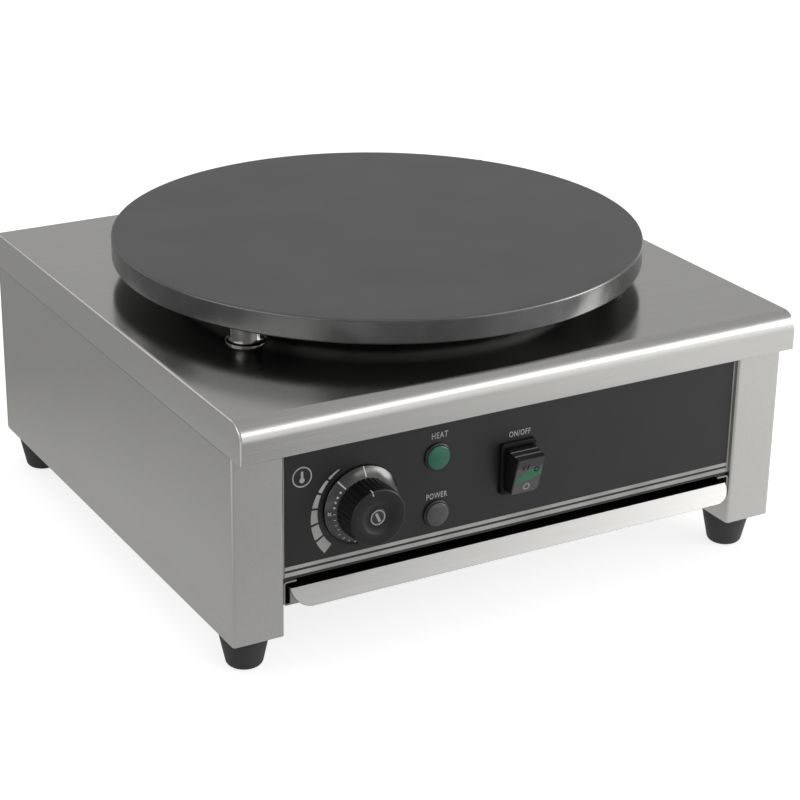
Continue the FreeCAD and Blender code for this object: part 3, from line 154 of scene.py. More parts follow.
# pale floor that keeps a soft shadow; its mirror values are painted reflections, a glow that only mirrored rays
# see and the steel shows, placed in metres
floorLook = {
    "reach": 3.0, "colour": (0.50, 0.50, 0.50), "roughness": 0.9, "lift": 0.785,
    "leftPaintedReflection": 0.06, "rightPaintedReflection": 0.62, "acrossFrom": -0.05, "acrossTo": 0.42,
    "nearPaintedReflection": 0.26, "nearFrom": 0.30, "nearTo": 0.50,
    "cornerPaintedReflection": 0.55, "corner": {"X": (-0.37, -0.47), "Y": (-0.15, -0.26)},
}
mesh = bmesh.new()
bmesh.ops.create_grid(mesh, x_segments=2, y_segments=2, size=floorLook["reach"])
floorData = bpy.data.meshes.new("floor")
mesh.to_mesh(floorData)
mesh.free()
floor = bpy.data.objects.new("floor", floorData)
scene.collection.objects.link(floor)
floorMaterial = bpy.data.materials.new("floorPaper")
floorMaterial.use_nodes = True
tree = floorMaterial.node_tree
shader = tree.nodes["Principled BSDF"]
shader.inputs["Base Color"].default_value = (*floorLook["colour"], 1)
shader.inputs["Roughness"].default_value = floorLook["roughness"]
shader.inputs["Specular IOR Level"].default_value = 0.0
shader.inputs["Emission Color"].default_value = (1, 1, 1, 1)
where = newNode(tree, "TexCoord")
split = newNode(tree, "SeparateXYZ")
tree.links.new(where.outputs["Object"], split.inputs[0])
across = spread(tree, split.outputs["X"], floorLook["leftPaintedReflection"], floorLook["rightPaintedReflection"],
                floorLook["acrossFrom"], floorLook["acrossTo"])
away = vectorSum(tree, "LENGTH", where.outputs["Object"])
near = spread(tree, away.outputs["Value"], floorLook["nearPaintedReflection"], 0.0,
              floorLook["nearFrom"], floorLook["nearTo"])
# a painted reflection: a pale glow at the front left, seen only in mirrors, which the left corner and the plate's
# rim mirror
cornerX, cornerY = [spread(tree, split.outputs[axis], 0.0, 1.0, *limits)
                    for axis, limits in floorLook["corner"].items()]
corner = calculate(tree, "MULTIPLY", calculate(tree, "MULTIPLY", cornerX, cornerY), floorLook["cornerPaintedReflection"])
mirrored = calculate(tree, "ADD", calculate(tree, "ADD", across, near), corner)
# the floor glows for mirrored rays only, brighter to the right, near the object and at the front left: painted
# reflection on the steel
paintedReflectionShare = calculate(tree, "MULTIPLY", lightPathMask(tree, ["Is Glossy Ray"]), mirrored)
lifted = calculate(tree, "MULTIPLY", lightPathMask(tree, seenThrough), floorLook["lift"])
tree.links.new(calculate(tree, "ADD", lifted, paintedReflectionShare), shader.inputs["Emission Strength"])
floorData.materials.append(floorMaterial)
print("stage: camera, lamps and floor")


# materials, all on object coordinates in metres

def startMaterial(name, colour, metallic, roughness):
    material = bpy.data.materials.new(name)
    material.use_nodes = True
    shader = material.node_tree.nodes["Principled BSDF"]
    shader.inputs["Base Color"].default_value = (*colour, 1)
    shader.inputs["Metallic"].default_value = metallic
    shader.inputs["Roughness"].default_value = roughness
    return material, material.node_tree, shader


def noise(tree, scale, detail=2.0):
    # a cloud pattern, in lumps per metre along each axis or along all three
    if isinstance(scale, (int, float)):
        scale = (scale, scale, scale)
    where = newNode(tree, "TexCoord")
    mapping = newNode(tree, "Mapping")
    mapping.inputs["Scale"].default_value = scale
    cloud = newNode(tree, "TexNoise")
    cloud.inputs["Scale"].default_value = 1.0
    cloud.inputs["Detail"].default_value = detail
    tree.links.new(where.outputs["Object"], mapping.inputs["Vector"])
    tree.links.new(mapping.outputs["Vector"], cloud.inputs["Vector"])
    return cloud.outputs["Fac"]


def scaled(colour, factor):
    return tuple(min(1.0, c * factor) for c in colour)


def tint(tree, shader, value, colour, tones):
    # varies a colour between a darker and a lighter share of itself
    node = newNode(tree, "Mix", data_type="RGBA")
    for socket, tone in zip(("A", "B"), tones):
        node.inputs[socket].default_value = (*scaled(colour, tone), 1)
    tree.links.new(value, node.inputs["Factor"])
    tree.links.new(node.outputs["Result"], shader.inputs["Base Color"])


def bump(tree, shader, value, strength, height):
    # a bump in millimetres, on top of any that is there
    node = newNode(tree, "Bump")
    node.inputs["Strength"].default_value = strength
    node.inputs["Distance"].default_value = height * mm
    tree.links.new(value, node.inputs["Height"])
    last = shader.inputs["Normal"].links
    if last:
        tree.links.new(last[0].from_socket, node.inputs["Normal"])
    tree.links.new(node.outputs["Normal"], shader.inputs["Normal"])


steelGrain = {"fine": 1400.0, "fineAlong": 14.0, "wide": 260.0, "wideAlong": 5.0, "clouds": 7.0,
              "tones": (0.96, 1.04), "rough": 0.02, "bump": 0.16, "depth": 0.008}


def brushedSteel(name, colour, roughness, alongAxis):
    # satin steel: fine scratches along one axis over slow clouds
    material, tree, shader = startMaterial(name, colour, 1.0, roughness)
    layers = []
    for width, length, detail in (("fine", "fineAlong", 3.0), ("wide", "wideAlong", 2.0)):
        scale = [steelGrain[width]] * 3
        scale[alongAxis] = steelGrain[length]
        layers.append(calculate(tree, "MULTIPLY", noise(tree, scale, detail), 0.5))
    both = calculate(tree, "ADD", *layers)
    clouds = noise(tree, steelGrain["clouds"])
    tint(tree, shader, spread(tree, both, 0.0, 1.0), colour, steelGrain["tones"])
    rough = steelGrain["rough"]
    tree.links.new(calculate(tree, "ADD", spread(tree, both, -rough, rough),
                             spread(tree, clouds, roughness - rough, roughness + rough)),
                   shader.inputs["Roughness"])
    bump(tree, shader, both, steelGrain["bump"], steelGrain["depth"])
    return material


metalMottle = {"lumps": 300.0, "tones": (0.86, 1.10), "smoother": 0.05, "rougher": 0.08,
               "bump": 0.2, "depth": 0.02}


def plainMetal(name, colour, roughness, lumps=metalMottle["lumps"]):
    # turned or plated metal with a slight mottle
    material, tree, shader = startMaterial(name, colour, 1.0, roughness)
    cloud = noise(tree, lumps, 3.0)
    tint(tree, shader, spread(tree, cloud, 0.0, 1.0), colour, metalMottle["tones"])
    tree.links.new(spread(tree, cloud, roughness - metalMottle["smoother"], roughness + metalMottle["rougher"]),
                   shader.inputs["Roughness"])
    bump(tree, shader, cloud, metalMottle["bump"], metalMottle["depth"])
    return material


mouldGrain = {"lumps": 900.0, "clouds": 40.0, "tones": (0.85, 1.15), "smoother": 0.05, "rougher": 0.06,
              "coatRough": 0.12, "bump": 0.3, "depth": 0.02}


def moulded(name, colour, roughness, lumps=mouldGrain["lumps"], depth=mouldGrain["depth"], coat=0.0, shine=0.5):
    # moulded plastic, rubber, paint or print with a fine grain
    material, tree, shader = startMaterial(name, colour, 0.0, roughness)
    grain = noise(tree, lumps)
    clouds = noise(tree, mouldGrain["clouds"])
    tint(tree, shader, spread(tree, clouds, 0.0, 1.0), colour, mouldGrain["tones"])
    tree.links.new(spread(tree, grain, roughness - mouldGrain["smoother"], roughness + mouldGrain["rougher"]),
                   shader.inputs["Roughness"])
    shader.inputs["Specular IOR Level"].default_value = shine
    shader.inputs["Coat Weight"].default_value = coat
    shader.inputs["Coat Roughness"].default_value = mouldGrain["coatRough"]
    bump(tree, shader, grain, mouldGrain["bump"], depth)
    return material


ironSkin = {"metallic": 0.8, "skin": 16.0, "rings": 420.0, "pores": 700.0,
            "skinShare": 0.65, "ringShare": 0.10, "poreShare": 0.25, "mixedFrom": (0.36, 0.64),
            "tones": (0.89, 1.10), "smoother": 0.04, "rougher": 0.05,
            "ringBump": 0.08, "poreBump": 0.35, "depth": 0.05}


def castIron(name, colour, roughness):
    # seasoned iron: turned rings about the axis, pores and a dry skin
    material, tree, shader = startMaterial(name, colour, ironSkin["metallic"], roughness)
    where = newNode(tree, "TexCoord")
    flat = vectorSum(tree, "MULTIPLY", where.outputs["Object"], (1, 1, 0))
    radius = vectorSum(tree, "LENGTH", flat.outputs[0])
    ringNoise = newNode(tree, "TexNoise", noise_dimensions="1D")
    ringNoise.inputs["Scale"].default_value = ironSkin["rings"]
    ringNoise.inputs["Detail"].default_value = 3.0
    tree.links.new(radius.outputs["Value"], ringNoise.inputs["W"])
    rings = ringNoise.outputs["Fac"]
    pores = noise(tree, ironSkin["pores"], 3.0)
    skin = noise(tree, ironSkin["skin"], 3.0)
    fine = calculate(tree, "ADD", calculate(tree, "MULTIPLY", rings, ironSkin["ringShare"]),
                     calculate(tree, "MULTIPLY", pores, ironSkin["poreShare"]))
    mixed = calculate(tree, "ADD", calculate(tree, "MULTIPLY", skin, ironSkin["skinShare"]), fine)
    tint(tree, shader, spread(tree, mixed, 0.0, 1.0, *ironSkin["mixedFrom"]), colour, ironSkin["tones"])
    tree.links.new(spread(tree, mixed, roughness - ironSkin["smoother"], roughness + ironSkin["rougher"]),
                   shader.inputs["Roughness"])
    bump(tree, shader, rings, ironSkin["ringBump"], ironSkin["depth"])
    bump(tree, shader, pores, ironSkin["poreBump"], ironSkin["depth"])
    return material


lensSkin = {"clouds": 260.0, "tones": (0.88, 1.12), "milk": 0.2, "milkDepth": 0.002, "coat": 0.15,
            "coatRough": 0.15, "bump": 0.1, "depth": 0.05}


def glassy(name, colour, roughness, clear):
    # a coloured lens: milky plastic under a clear skin
    material, tree, shader = startMaterial(name, colour, 0.0, roughness)
    cloud = noise(tree, lensSkin["clouds"])
    tint(tree, shader, spread(tree, cloud, 0.0, 1.0), colour, lensSkin["tones"])
    shader.inputs["Transmission Weight"].default_value = clear
    shader.inputs["Subsurface Weight"].default_value = lensSkin["milk"]
    shader.inputs["Subsurface Scale"].default_value = lensSkin["milkDepth"]
    shader.inputs["Coat Weight"].default_value = lensSkin["coat"]
    shader.inputs["Coat Roughness"].default_value = lensSkin["coatRough"]
    bump(tree, shader, cloud, lensSkin["bump"], lensSkin["depth"])
    return material


# name, colour, roughness, then the brushing's axis, the lumps per metre or how clear a lens is
steelColour = (0.55, 0.545, 0.53)
looks = {
    "steelCover": brushedSteel("steelCover", steelColour, 0.25, 0),
    "steelTop": brushedSteel("steelTop", steelColour, 0.17, 0),
    "steelEnd": brushedSteel("steelEnd", steelColour, 0.30, 1),
    # the tray's steel is darker than the cover's, painted shade that dims the lamp's reflection along its lip
    "steelTrayPaintedShade": brushedSteel("steelTrayPaintedShade", (0.36, 0.357, 0.348), 0.30, 0),
    "steelSide": brushedSteel("steelSide", (0.52, 0.515, 0.50), 0.34, 1),
    "steelFront": brushedSteel("steelFront", steelColour, 0.34, 0),
    # a darker copy of the same steel for the runners, rails and bars inside the body: painted shade
    "steelInsidePaintedShade": brushedSteel("steelInsidePaintedShade", (0.34, 0.34, 0.33), 0.42, 1),
    "iron": castIron("seasonedIron", (0.148, 0.148, 0.149), 0.46),
    "ironRim": plainMetal("turnedRim", (0.118, 0.118, 0.118), 0.24, 45.0),
    # the spacers' steel is darkened far below the steel's own colour: painted shade for the dim space under the
    # plate
    "sleeve": plainMetal("turnedSpacerShaded", (0.17, 0.167, 0.158), 0.14, 120.0),
    "zinc": plainMetal("zincPlate", (0.40, 0.40, 0.39), 0.34),
    "fastener": plainMetal("screwSteel", (0.36, 0.36, 0.35), 0.30),
    "sheath": plainMetal("elementSheath", (0.14, 0.13, 0.12), 0.45),
    "pan": plainMetal("aluminisedPan", (0.30, 0.30, 0.29), 0.45, 90.0),
    "copper": plainMetal("copperTube", (0.55, 0.27, 0.16), 0.32),
    "brass": plainMetal("brassParts", (0.52, 0.38, 0.16), 0.30),
    "skirt": plainMetal("skirtMetal", (0.088, 0.088, 0.087), 0.22, 70.0),
    "fibre": moulded("ceramicFibre", (0.62, 0.60, 0.55), 0.95, 500.0, 0.3),
    "film": moulded("panelFilm", (0.010, 0.010, 0.010), 0.36, 1500.0, 0.01),
    "ink": moulded("printedInk", (0.50, 0.50, 0.48), 0.6, 1500.0, 0.01),
    "markWhite": moulded("markWhite", (0.72, 0.72, 0.70), 0.5, 1500.0, 0.01),
    "border": moulded("paleBorder", (0.42, 0.42, 0.40), 0.5, 1500.0, 0.01),
    # black that stands in for shade: painted shade on the front panel and deck, seen as the dark gap and the dark
    # inside
    "paintedShadeBlack": moulded("paintedShadeBlack", (0.035, 0.035, 0.035), 0.5, 900.0, 0.01),
    "knob": moulded("knobBlack", (0.008, 0.008, 0.008), 0.34, 1200.0, 0.02, shine=0.4),
    "cap": moulded("capBlack", (0.028, 0.028, 0.028), 0.4, 1200.0, 0.02),
    "switch": moulded("switchBlack", (0.012, 0.012, 0.012), 0.30, 1200.0, 0.01, coat=0.2),
    "frameBlack": moulded("frameBlack", (0.006, 0.006, 0.006), 0.50, 1200.0, 0.01, shine=0.2),
    "faceLow": moulded("rockerFaceLow", (0.080, 0.076, 0.073), 0.38, 1200.0, 0.01, coat=0.1),
    "faceHigh": moulded("rockerFaceHigh", (0.022, 0.019, 0.019), 0.38, 1200.0, 0.01, coat=0.1),
    "bakelite": moulded("bakelite", (0.035, 0.028, 0.024), 0.45),
    "nylon": moulded("nylonBlack", (0.025, 0.025, 0.025), 0.5),
    "block": moulded("terminalCeramic", (0.66, 0.65, 0.60), 0.5),
    "sleeving": moulded("leadSleeving", (0.50, 0.47, 0.42), 0.7, 1500.0, 0.1),
    "rubber": moulded("footRubber", (0.040, 0.040, 0.041), 0.60, 700.0, 0.06),
    "greenLens": glassy("greenLens", (0.010, 0.150, 0.085), 0.38, 0.0),
    "clearLens": glassy("smokedLens", (0.095, 0.095, 0.092), 0.22, 0.15),
    "greenWindow": glassy("greenWindow", (0.010, 0.160, 0.068), 0.35, 0.0),
}
print("stage: materials")


# making pieces

panelFront = -206.5  # front of the black overlay
touching = 0.02  # how near a point is taken to lie on a ring
sameFace = 0.1  # how near a point is taken to lie on a flat face


def onlyThese(elements, test):
    return [e for e in elements if test(e)]


def onlyVerts(geom):
    return [g for g in geom if isinstance(g, bmesh.types.BMVert)]


def move(mesh, verts, shift):
    bmesh.ops.translate(mesh, vec=shift, verts=verts)


def rotate(mesh, verts, degrees, axis, centre=(0, 0, 0)):
    matrix = Matrix.Rotation(math.radians(degrees), 3, axis)
    bmesh.ops.rotate(mesh, cent=centre, matrix=matrix, verts=verts)


def bevelEdges(mesh, test, width, segments):
    edges = onlyThese(mesh.edges, test)
    bmesh.ops.bevel(mesh, geom=edges, offset=width, offset_type="OFFSET", affect="EDGES",
                    segments=segments, profile=0.5, material=-1, clamp_overlap=True)


def ringAt(radius, height, centre=(0, 0)):
    def test(edge):
        return all(abs(math.hypot(v.co.x - centre[0], v.co.y - centre[1]) - radius) < touching
                   and abs(v.co.z - height) < touching for v in edge.verts)
    return test


def turn(mesh, outline, steps, rounds=(), centre=(0, 0)):
    # spins an outline of (radius, height) about an upright axis, then rounds some of its rings
    start = [mesh.verts.new((centre[0] + r, centre[1], z)) for r, z in outline]
    lines = [mesh.edges.new(pair) for pair in zip(start, start[1:])]
    if outline[0][0] > 0 and outline[-1][0] > 0:
        lines.append(mesh.edges.new((start[-1], start[0])))
    bmesh.ops.spin(mesh, geom=start + lines, cent=(centre[0], centre[1], 0), axis=(0, 0, 1),
                   angle=math.tau, steps=steps, use_merge=True, use_duplicate=False)
    bmesh.ops.remove_doubles(mesh, verts=mesh.verts[:], dist=0.0005)
    for radius, height, width, segments in rounds:
        bevelEdges(mesh, ringAt(radius, height, centre), width, segments)
    bmesh.ops.recalc_face_normals(mesh, faces=mesh.faces[:])


def block(mesh, low, high):
    # a box between two corners
    made = bmesh.ops.create_cube(mesh, size=1.0)["verts"]
    bmesh.ops.scale(mesh, vec=[b - a for a, b in zip(low, high)], verts=made)
    move(mesh, made, [(a + b) / 2 for a, b in zip(low, high)])
    return made


def ontoFront(mesh, x, z, y=panelFront):
    # from a drawing seen from the front, with its third axis outwards, to its place on the panel
    rotate(mesh, mesh.verts[:], 90, "X")
    move(mesh, mesh.verts[:], (x, y, z))


def makePiece(name, mesh, body, material, replaced=(), crease=32):
    bmesh.ops.scale(mesh, vec=(mm, mm, mm), verts=mesh.verts[:])
    data = bpy.data.meshes.new(name)
    mesh.to_mesh(data)
    mesh.free()
    data.materials.append(material)
    data.polygons.foreach_set("use_smooth", [True] * len(data.polygons))
    data.set_sharp_from_angle(angle=math.radians(crease))
    piece = bpy.data.objects.new(name, data)
    scene.collection.objects.link(piece)
    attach(piece, body)
    if replaced:
        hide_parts(*replaced)
    return piece


def evenShading(piece):
    # keeps flat faces flat beside their rounded edges
    normals = piece.modifiers.new("evenShading", "WEIGHTED_NORMAL")
    normals.mode = "FACE_AREA"
    normals.weight = 50
    normals.keep_sharp = True


def paintWhere(piece, material, test):
    # gives the faces that pass a test their own material
    piece.data.materials.append(material)
    for polygon in piece.data.polygons:
        if test(polygon):
            polygon.material_index = len(piece.data.materials) - 1


letters = {"thickness": 0.12, "spacing": 1.12, "curveSteps": 3}


def lettering(text, size, bolder):
    # a word as a mesh, centred, lying in the plane of the drawing
    curve = bpy.data.curves.new("word", "FONT")
    curve.body = text
    curve.size = size
    curve.extrude = letters["thickness"] / 2
    curve.offset = bolder
    curve.space_character = letters["spacing"]
    curve.align_x = "CENTER"
    curve.align_y = "CENTER"
    curve.resolution_u = letters["curveSteps"]
    holder = bpy.data.objects.new("word", curve)
    data = bpy.data.meshes.new_from_object(holder)
    mesh = bmesh.new()
    mesh.from_mesh(data)
    bpy.data.objects.remove(holder)
    bpy.data.curves.remove(curve)
    bpy.data.meshes.remove(data)
    return mesh


# griddle plate; a round is a bevel's width and its steps
plate = {"radius": 200.0, "low": 211.0, "top": 229.0, "recess": 160.0, "recessTop": 219.0, "steps": 192,
         "topRound": (2.0, 5), "lowRound": (1.6, 4), "recessRound": (1.0, 2), "rimDepth": 0.4}
mesh = bmesh.new()
turn(mesh, [(0, plate["top"]), (plate["radius"], plate["top"]), (plate["radius"], plate["low"]),
            (plate["recess"], plate["low"]), (plate["recess"], plate["recessTop"]), (0, plate["recessTop"])],
     plate["steps"],
     [(plate["radius"], plate["top"], *plate["topRound"]), (plate["radius"], plate["low"], *plate["lowRound"]),
      (plate["recess"], plate["low"], *plate["recessRound"])])
platePiece = makePiece("griddlePlate", mesh, "housing", looks["iron"], ["griddle_plate"])
paintWhere(platePiece, looks["ironRim"],
           lambda f: f.center.xy.length > (plate["radius"] - plate["rimDepth"]) * mm)
evenShading(platePiece)

# spacers that hold the plate off the cover
spacer = {"circle": 178.0, "angles": (90, 210, 330), "bore": 4.4, "radius": 11.5, "flange": 14.8, "shoulder": 12.6,
          "base": 195.0, "flangeTop": 196.2, "shoulderTop": 197.2, "bodyLow": 199.4, "top": 211.0,
          "flangeRound": (0.5, 3), "steps": 64}
mesh = bmesh.new()
for angle in spacer["angles"]:
    centre = (spacer["circle"] * math.cos(math.radians(angle)), spacer["circle"] * math.sin(math.radians(angle)))
    turn(mesh, [(spacer["bore"], spacer["base"]), (spacer["flange"], spacer["base"]),
                (spacer["flange"], spacer["flangeTop"]), (spacer["shoulder"], spacer["shoulderTop"]),
                (spacer["radius"], spacer["bodyLow"]), (spacer["radius"], spacer["top"]),
                (spacer["bore"], spacer["top"])], spacer["steps"],
         [(spacer["flange"], spacer["flangeTop"], *spacer["flangeRound"])], centre)
makePiece("plateSpacers", mesh, "housing", looks["sleeve"], ["plate_spacers"])

# bull-nosed top cover, a sheet that is folded from one outline and thickened
cover = {"half": 225.0, "front": -224.4, "back": 215.0, "low": 167.0, "top": 195.0, "sheet": 1.2,
         "nose": (13.0, 16), "rim": (2.0, 5), "lip": 17.4, "lipBend": (1.4, 4), "crease": 25,
         "endFacing": 0.7, "topFacing": 0.98}


def onFrontLow(vert):
    return abs(vert.co.z - cover["low"]) < sameFace / 2 and vert.co.y < cover["front"] + sameFace / 2


def isNoseLine(edge):
    return all(v.co.z > cover["top"] - sameFace and v.co.y < cover["front"] + sameFace for v in edge.verts)


def isCoverRim(edge):
    ends = edge.verts
    if all(abs(v.co.z - cover["low"]) < sameFace for v in ends):
        return False
    atEnd = all(abs(abs(v.co.x) - cover["half"]) < sameFace and v.co.x * ends[0].co.x > 0 for v in ends)
    atBack = all(v.co.y > cover["back"] - sameFace and v.co.z > cover["top"] - sameFace for v in ends)
    return atEnd or atBack


mesh = bmesh.new()
block(mesh, (-cover["half"], cover["front"], cover["low"]), (cover["half"], cover["back"], cover["top"]))
under = onlyThese(mesh.faces, lambda f: f.calc_center_median().z < cover["low"] + sameFace)
bmesh.ops.delete(mesh, geom=under, context="FACES_ONLY")
bevelEdges(mesh, isNoseLine, *cover["nose"])
bevelEdges(mesh, isCoverRim, *cover["rim"])
lipLine = onlyThese(mesh.edges, lambda e: all(onFrontLow(v) for v in e.verts))
pulled = bmesh.ops.extrude_edge_only(mesh, edges=lipLine)["geom"]
move(mesh, onlyVerts(pulled), (0, cover["lip"], 0))
bevelEdges(mesh, lambda e: len(e.link_faces) == 2 and all(onFrontLow(v) for v in e.verts), *cover["lipBend"])
bmesh.ops.recalc_face_normals(mesh, faces=mesh.faces[:])
coverPiece = makePiece("topCover", mesh, "housing", looks["steelCover"], ["top_cover"],
                       cover["crease"])
wall = coverPiece.modifiers.new("sheet", "SOLIDIFY")
wall.thickness = cover["sheet"] * mm
wall.offset = -1.0
wall.use_even_offset = True
evenShading(coverPiece)
paintWhere(coverPiece, looks["steelEnd"], lambda f: abs(f.normal.x) > cover["endFacing"])
paintWhere(coverPiece, looks["steelTop"], lambda f: f.normal.z > cover["topFacing"])

# rounded hems along the cover's ends
hem = {"radius": 0.75, "height": 167.85, "front": -222.0, "back": 214.0, "steps": 16, "crease": 60}
mesh = bmesh.new()
for side in (-1, 1):
    rod = bmesh.ops.create_cone(mesh, cap_ends=True, segments=hem["steps"], radius1=hem["radius"],
                                radius2=hem["radius"], depth=hem["back"] - hem["front"])["verts"]
    rotate(mesh, rod, 90, "X")
    move(mesh, rod, (side * (cover["half"] - hem["radius"]), (hem["front"] + hem["back"]) / 2, hem["height"]))
makePiece("coverHems", mesh, "housing", looks["steelEnd"], (), hem["crease"])

# rubber feet
foot = {"top": 18.5, "floor": 12.5, "height": 28.0, "hole": 7.5, "holeDepth": 15.0, "steps": 72,
        "floorRound": (3.6, 7), "topRound": (1.2, 3), "holeRound": (0.6, 2)}
feet = {"foot_front_left": (-205, -185), "foot_front_right": (205, -185),
        "foot_back_left": (-205, 190), "foot_back_right": (205, 190)}
for nodeName, (x, y) in feet.items():
    mesh = bmesh.new()
    turn(mesh, [(0, foot["holeDepth"]), (foot["hole"], foot["holeDepth"]), (foot["hole"], 0), (foot["floor"], 0),
                (foot["top"], foot["height"]), (0, foot["height"])], foot["steps"],
         [(foot["floor"], 0, *foot["floorRound"]), (foot["top"], foot["height"], *foot["topRound"]),
          (foot["hole"], 0, *foot["holeRound"])])
    move(mesh, mesh.verts[:], (x, y, 0))
    makePiece(nodeName + "_rubber", mesh, "housing", looks["rubber"], [nodeName])
print("stage: plate, cover and feet")

# dial: skirt, grip, cap and their marks; heights are measured out from the panel
dial = {"x": -126.5, "z": 111.9, "bore": 3.1, "skirt": 29.0, "skirtTop": 22.6, "back": 1.0, "edge": 1.8,
        "front": 6.5, "skirtSteps": 128, "edgeRound": (0.35, 3), "backRound": (0.2, 2)}
grip = {"radius": 22.0, "taper": 0.955, "sideRise": 15.6, "shoulderRise": 1.2, "front": 20.8, "reach": 24.92,
        "flutes": 36, "perFlute": 6, "flute": 0.55, "flutePower": 0.8, "frontRound": (1.3, 5), "dishLip": 12.3,
        "dish": ((-0.35, 11.5), (-0.75, 10.0), (-0.4, 8.4), (-0.1, 6.6), (-0.9, 6.5))}
cap = {"radius": 6.4, "front": 23.6, "back": 22.5, "edge": (0.3, 3), "steps": 64, "ring": (4.7, 5.5),
       "bar": (0.95, 3.6), "barTurn": 24, "print": 0.1}


def finishDial(name, mesh, look, replaced=(), crease=32):
    ontoFront(mesh, dial["x"], dial["z"])
    makePiece(name, mesh, "dial", looks[look], replaced, crease)


mesh = bmesh.new()
turn(mesh, [(dial["bore"], dial["back"]), (dial["skirt"], dial["back"]), (dial["skirt"], dial["edge"]),
            (dial["skirtTop"], dial["front"]), (dial["bore"], dial["front"])], dial["skirtSteps"],
     [(dial["skirt"], dial["edge"], *dial["edgeRound"]), (dial["skirt"], dial["back"], *dial["backRound"])])
finishDial("dialSkirt", mesh, "skirt", ["dial_skirt"], 40)


def raiseRing(mesh, edges, rise, factor):
    # extrudes a ring of edges outwards along the axis and scales it
    grown = bmesh.ops.extrude_edge_only(mesh, edges=edges)["geom"]
    verts = onlyVerts(grown)
    move(mesh, verts, (0, 0, rise))
    bmesh.ops.scale(mesh, vec=(factor, factor, 1), verts=verts)
    return [g for g in grown if isinstance(g, bmesh.types.BMEdge)], verts


mesh = bmesh.new()
circle = bmesh.ops.create_circle(mesh, cap_ends=False, segments=grip["flutes"] * grip["perFlute"],
                                 radius=grip["radius"])["verts"]
for v in circle:
    share = (math.degrees(math.atan2(v.co.y, v.co.x)) / 360 * grip["flutes"]) % 1.0
    depth = grip["flute"] * max(0.0, math.cos(math.tau * share)) ** grip["flutePower"]
    v.co *= (grip["radius"] - depth) / grip["radius"]
move(mesh, circle, (0, 0, dial["front"]))
ring, verts = raiseRing(mesh, mesh.edges[:], grip["sideRise"], grip["taper"])
ring, verts = raiseRing(mesh, ring, grip["shoulderRise"], 1.0)
for v in verts:
    v.co.xy *= grip["front"] / v.co.xy.length
ring, verts = raiseRing(mesh, ring, grip["reach"] - dial["front"] - grip["sideRise"] - grip["shoulderRise"], 1.0)
rimHeight = verts[0].co.z
ring, verts = raiseRing(mesh, ring, 0.0, grip["dishLip"] / grip["front"])
for drop, radius in grip["dish"]:
    ring, verts = raiseRing(mesh, ring, drop, radius / verts[0].co.xy.length)
bmesh.ops.contextual_create(mesh, geom=ring)
bevelEdges(mesh, ringAt(grip["front"], rimHeight), *grip["frontRound"])
bmesh.ops.recalc_face_normals(mesh, faces=mesh.faces[:])
finishDial("dialGrip", mesh, "knob", ["dial_grip"], 50)

mesh = bmesh.new()
turn(mesh, [(0, cap["front"]), (cap["radius"], cap["front"]), (cap["radius"], cap["back"]), (0, cap["back"])],
     cap["steps"], [(cap["radius"], cap["front"], *cap["edge"])])
finishDial("dialCap", mesh, "cap", ["dial_cap"], 40)

# ring and bar on the cap
mesh = bmesh.new()
inner, outer = cap["ring"]
printTop = cap["front"] + cap["print"]
turn(mesh, [(inner, cap["front"]), (outer, cap["front"]), (outer, printTop), (inner, printTop)], cap["steps"])
halfWidth, halfLength = cap["bar"]
bar = block(mesh, (-halfWidth, -halfLength, cap["front"]), (halfWidth, halfLength, printTop))
rotate(mesh, bar, cap["barTurn"], "Z")
finishDial("dialCapMark", mesh, "ink")


def ontoCone(mesh, verts, angle, radius):
    # lays marks on the skirt's slope: their second axis points down the slope, outwards
    turnTo = math.radians(angle)
    outward = Vector((math.cos(turnTo), math.sin(turnTo), 0))
    slope = (dial["front"] - dial["edge"]) / (dial["skirt"] - dial["skirtTop"])
    down = (outward - Vector((0, 0, slope))).normalized()
    across = Vector((math.sin(turnTo), -math.cos(turnTo), 0))
    place = outward * radius + Vector((0, 0, dial["edge"] + (dial["skirt"] - radius) * slope))
    matrix = Matrix((across, down, across.cross(down))).transposed()
    bmesh.ops.rotate(mesh, cent=(0, 0, 0), matrix=matrix, verts=verts)
    move(mesh, verts, place)


# marks on the skirt: angles, sizes, and how far out each kind stands
dialMarks = {"ticks": (89, 131.5), "tickSize": (1.0, 7.4), "tickAt": 25.8,
             "short": (180.5, 191, 201.5, 211), "shortSize": (0.6, 1.5), "shortAt": 23.6,
             "dots": (141.5, 151, 160, 169), "dot": 0.8, "dotDepth": 0.16, "dotSteps": 12, "dotAt": 23.9,
             "cross": (180.5, 26.2), "crossArm": (0.8, 3.2), "print": 0.08,
             "numbers": ((221, "1"), (232, "2"), (243, "3"), (254, "4"), (265, "5"), (276, "6")),
             "numberSize": 3.2, "numberBolder": 0.04, "numberAt": 25.4}


def markBlock(mesh, size):
    width, length = size
    return block(mesh, (-width / 2, -length / 2, 0), (width / 2, length / 2, dialMarks["print"]))


mesh = bmesh.new()
for kind, size, at in (("ticks", "tickSize", "tickAt"), ("short", "shortSize", "shortAt")):
    for angle in dialMarks[kind]:
        ontoCone(mesh, markBlock(mesh, dialMarks[size]), angle, dialMarks[at])
for angle in dialMarks["dots"]:
    made = bmesh.ops.create_cone(mesh, cap_ends=True, segments=dialMarks["dotSteps"], radius1=dialMarks["dot"],
                                 radius2=dialMarks["dot"], depth=dialMarks["dotDepth"])["verts"]
    ontoCone(mesh, made, angle, dialMarks["dotAt"])
for turnBy in (45, -45):
    arm = markBlock(mesh, dialMarks["crossArm"])
    rotate(mesh, arm, turnBy, "Z")
    ontoCone(mesh, arm, *dialMarks["cross"])
finishDial("dialMarks", mesh, "markWhite")
for angle, text in dialMarks["numbers"]:
    mesh = lettering(text, dialMarks["numberSize"], dialMarks["numberBolder"])
    rotate(mesh, mesh.verts[:], 180, "Z")
    ontoCone(mesh, mesh.verts[:], angle, dialMarks["numberAt"])
    finishDial("dialNumber" + text, mesh, "markWhite")

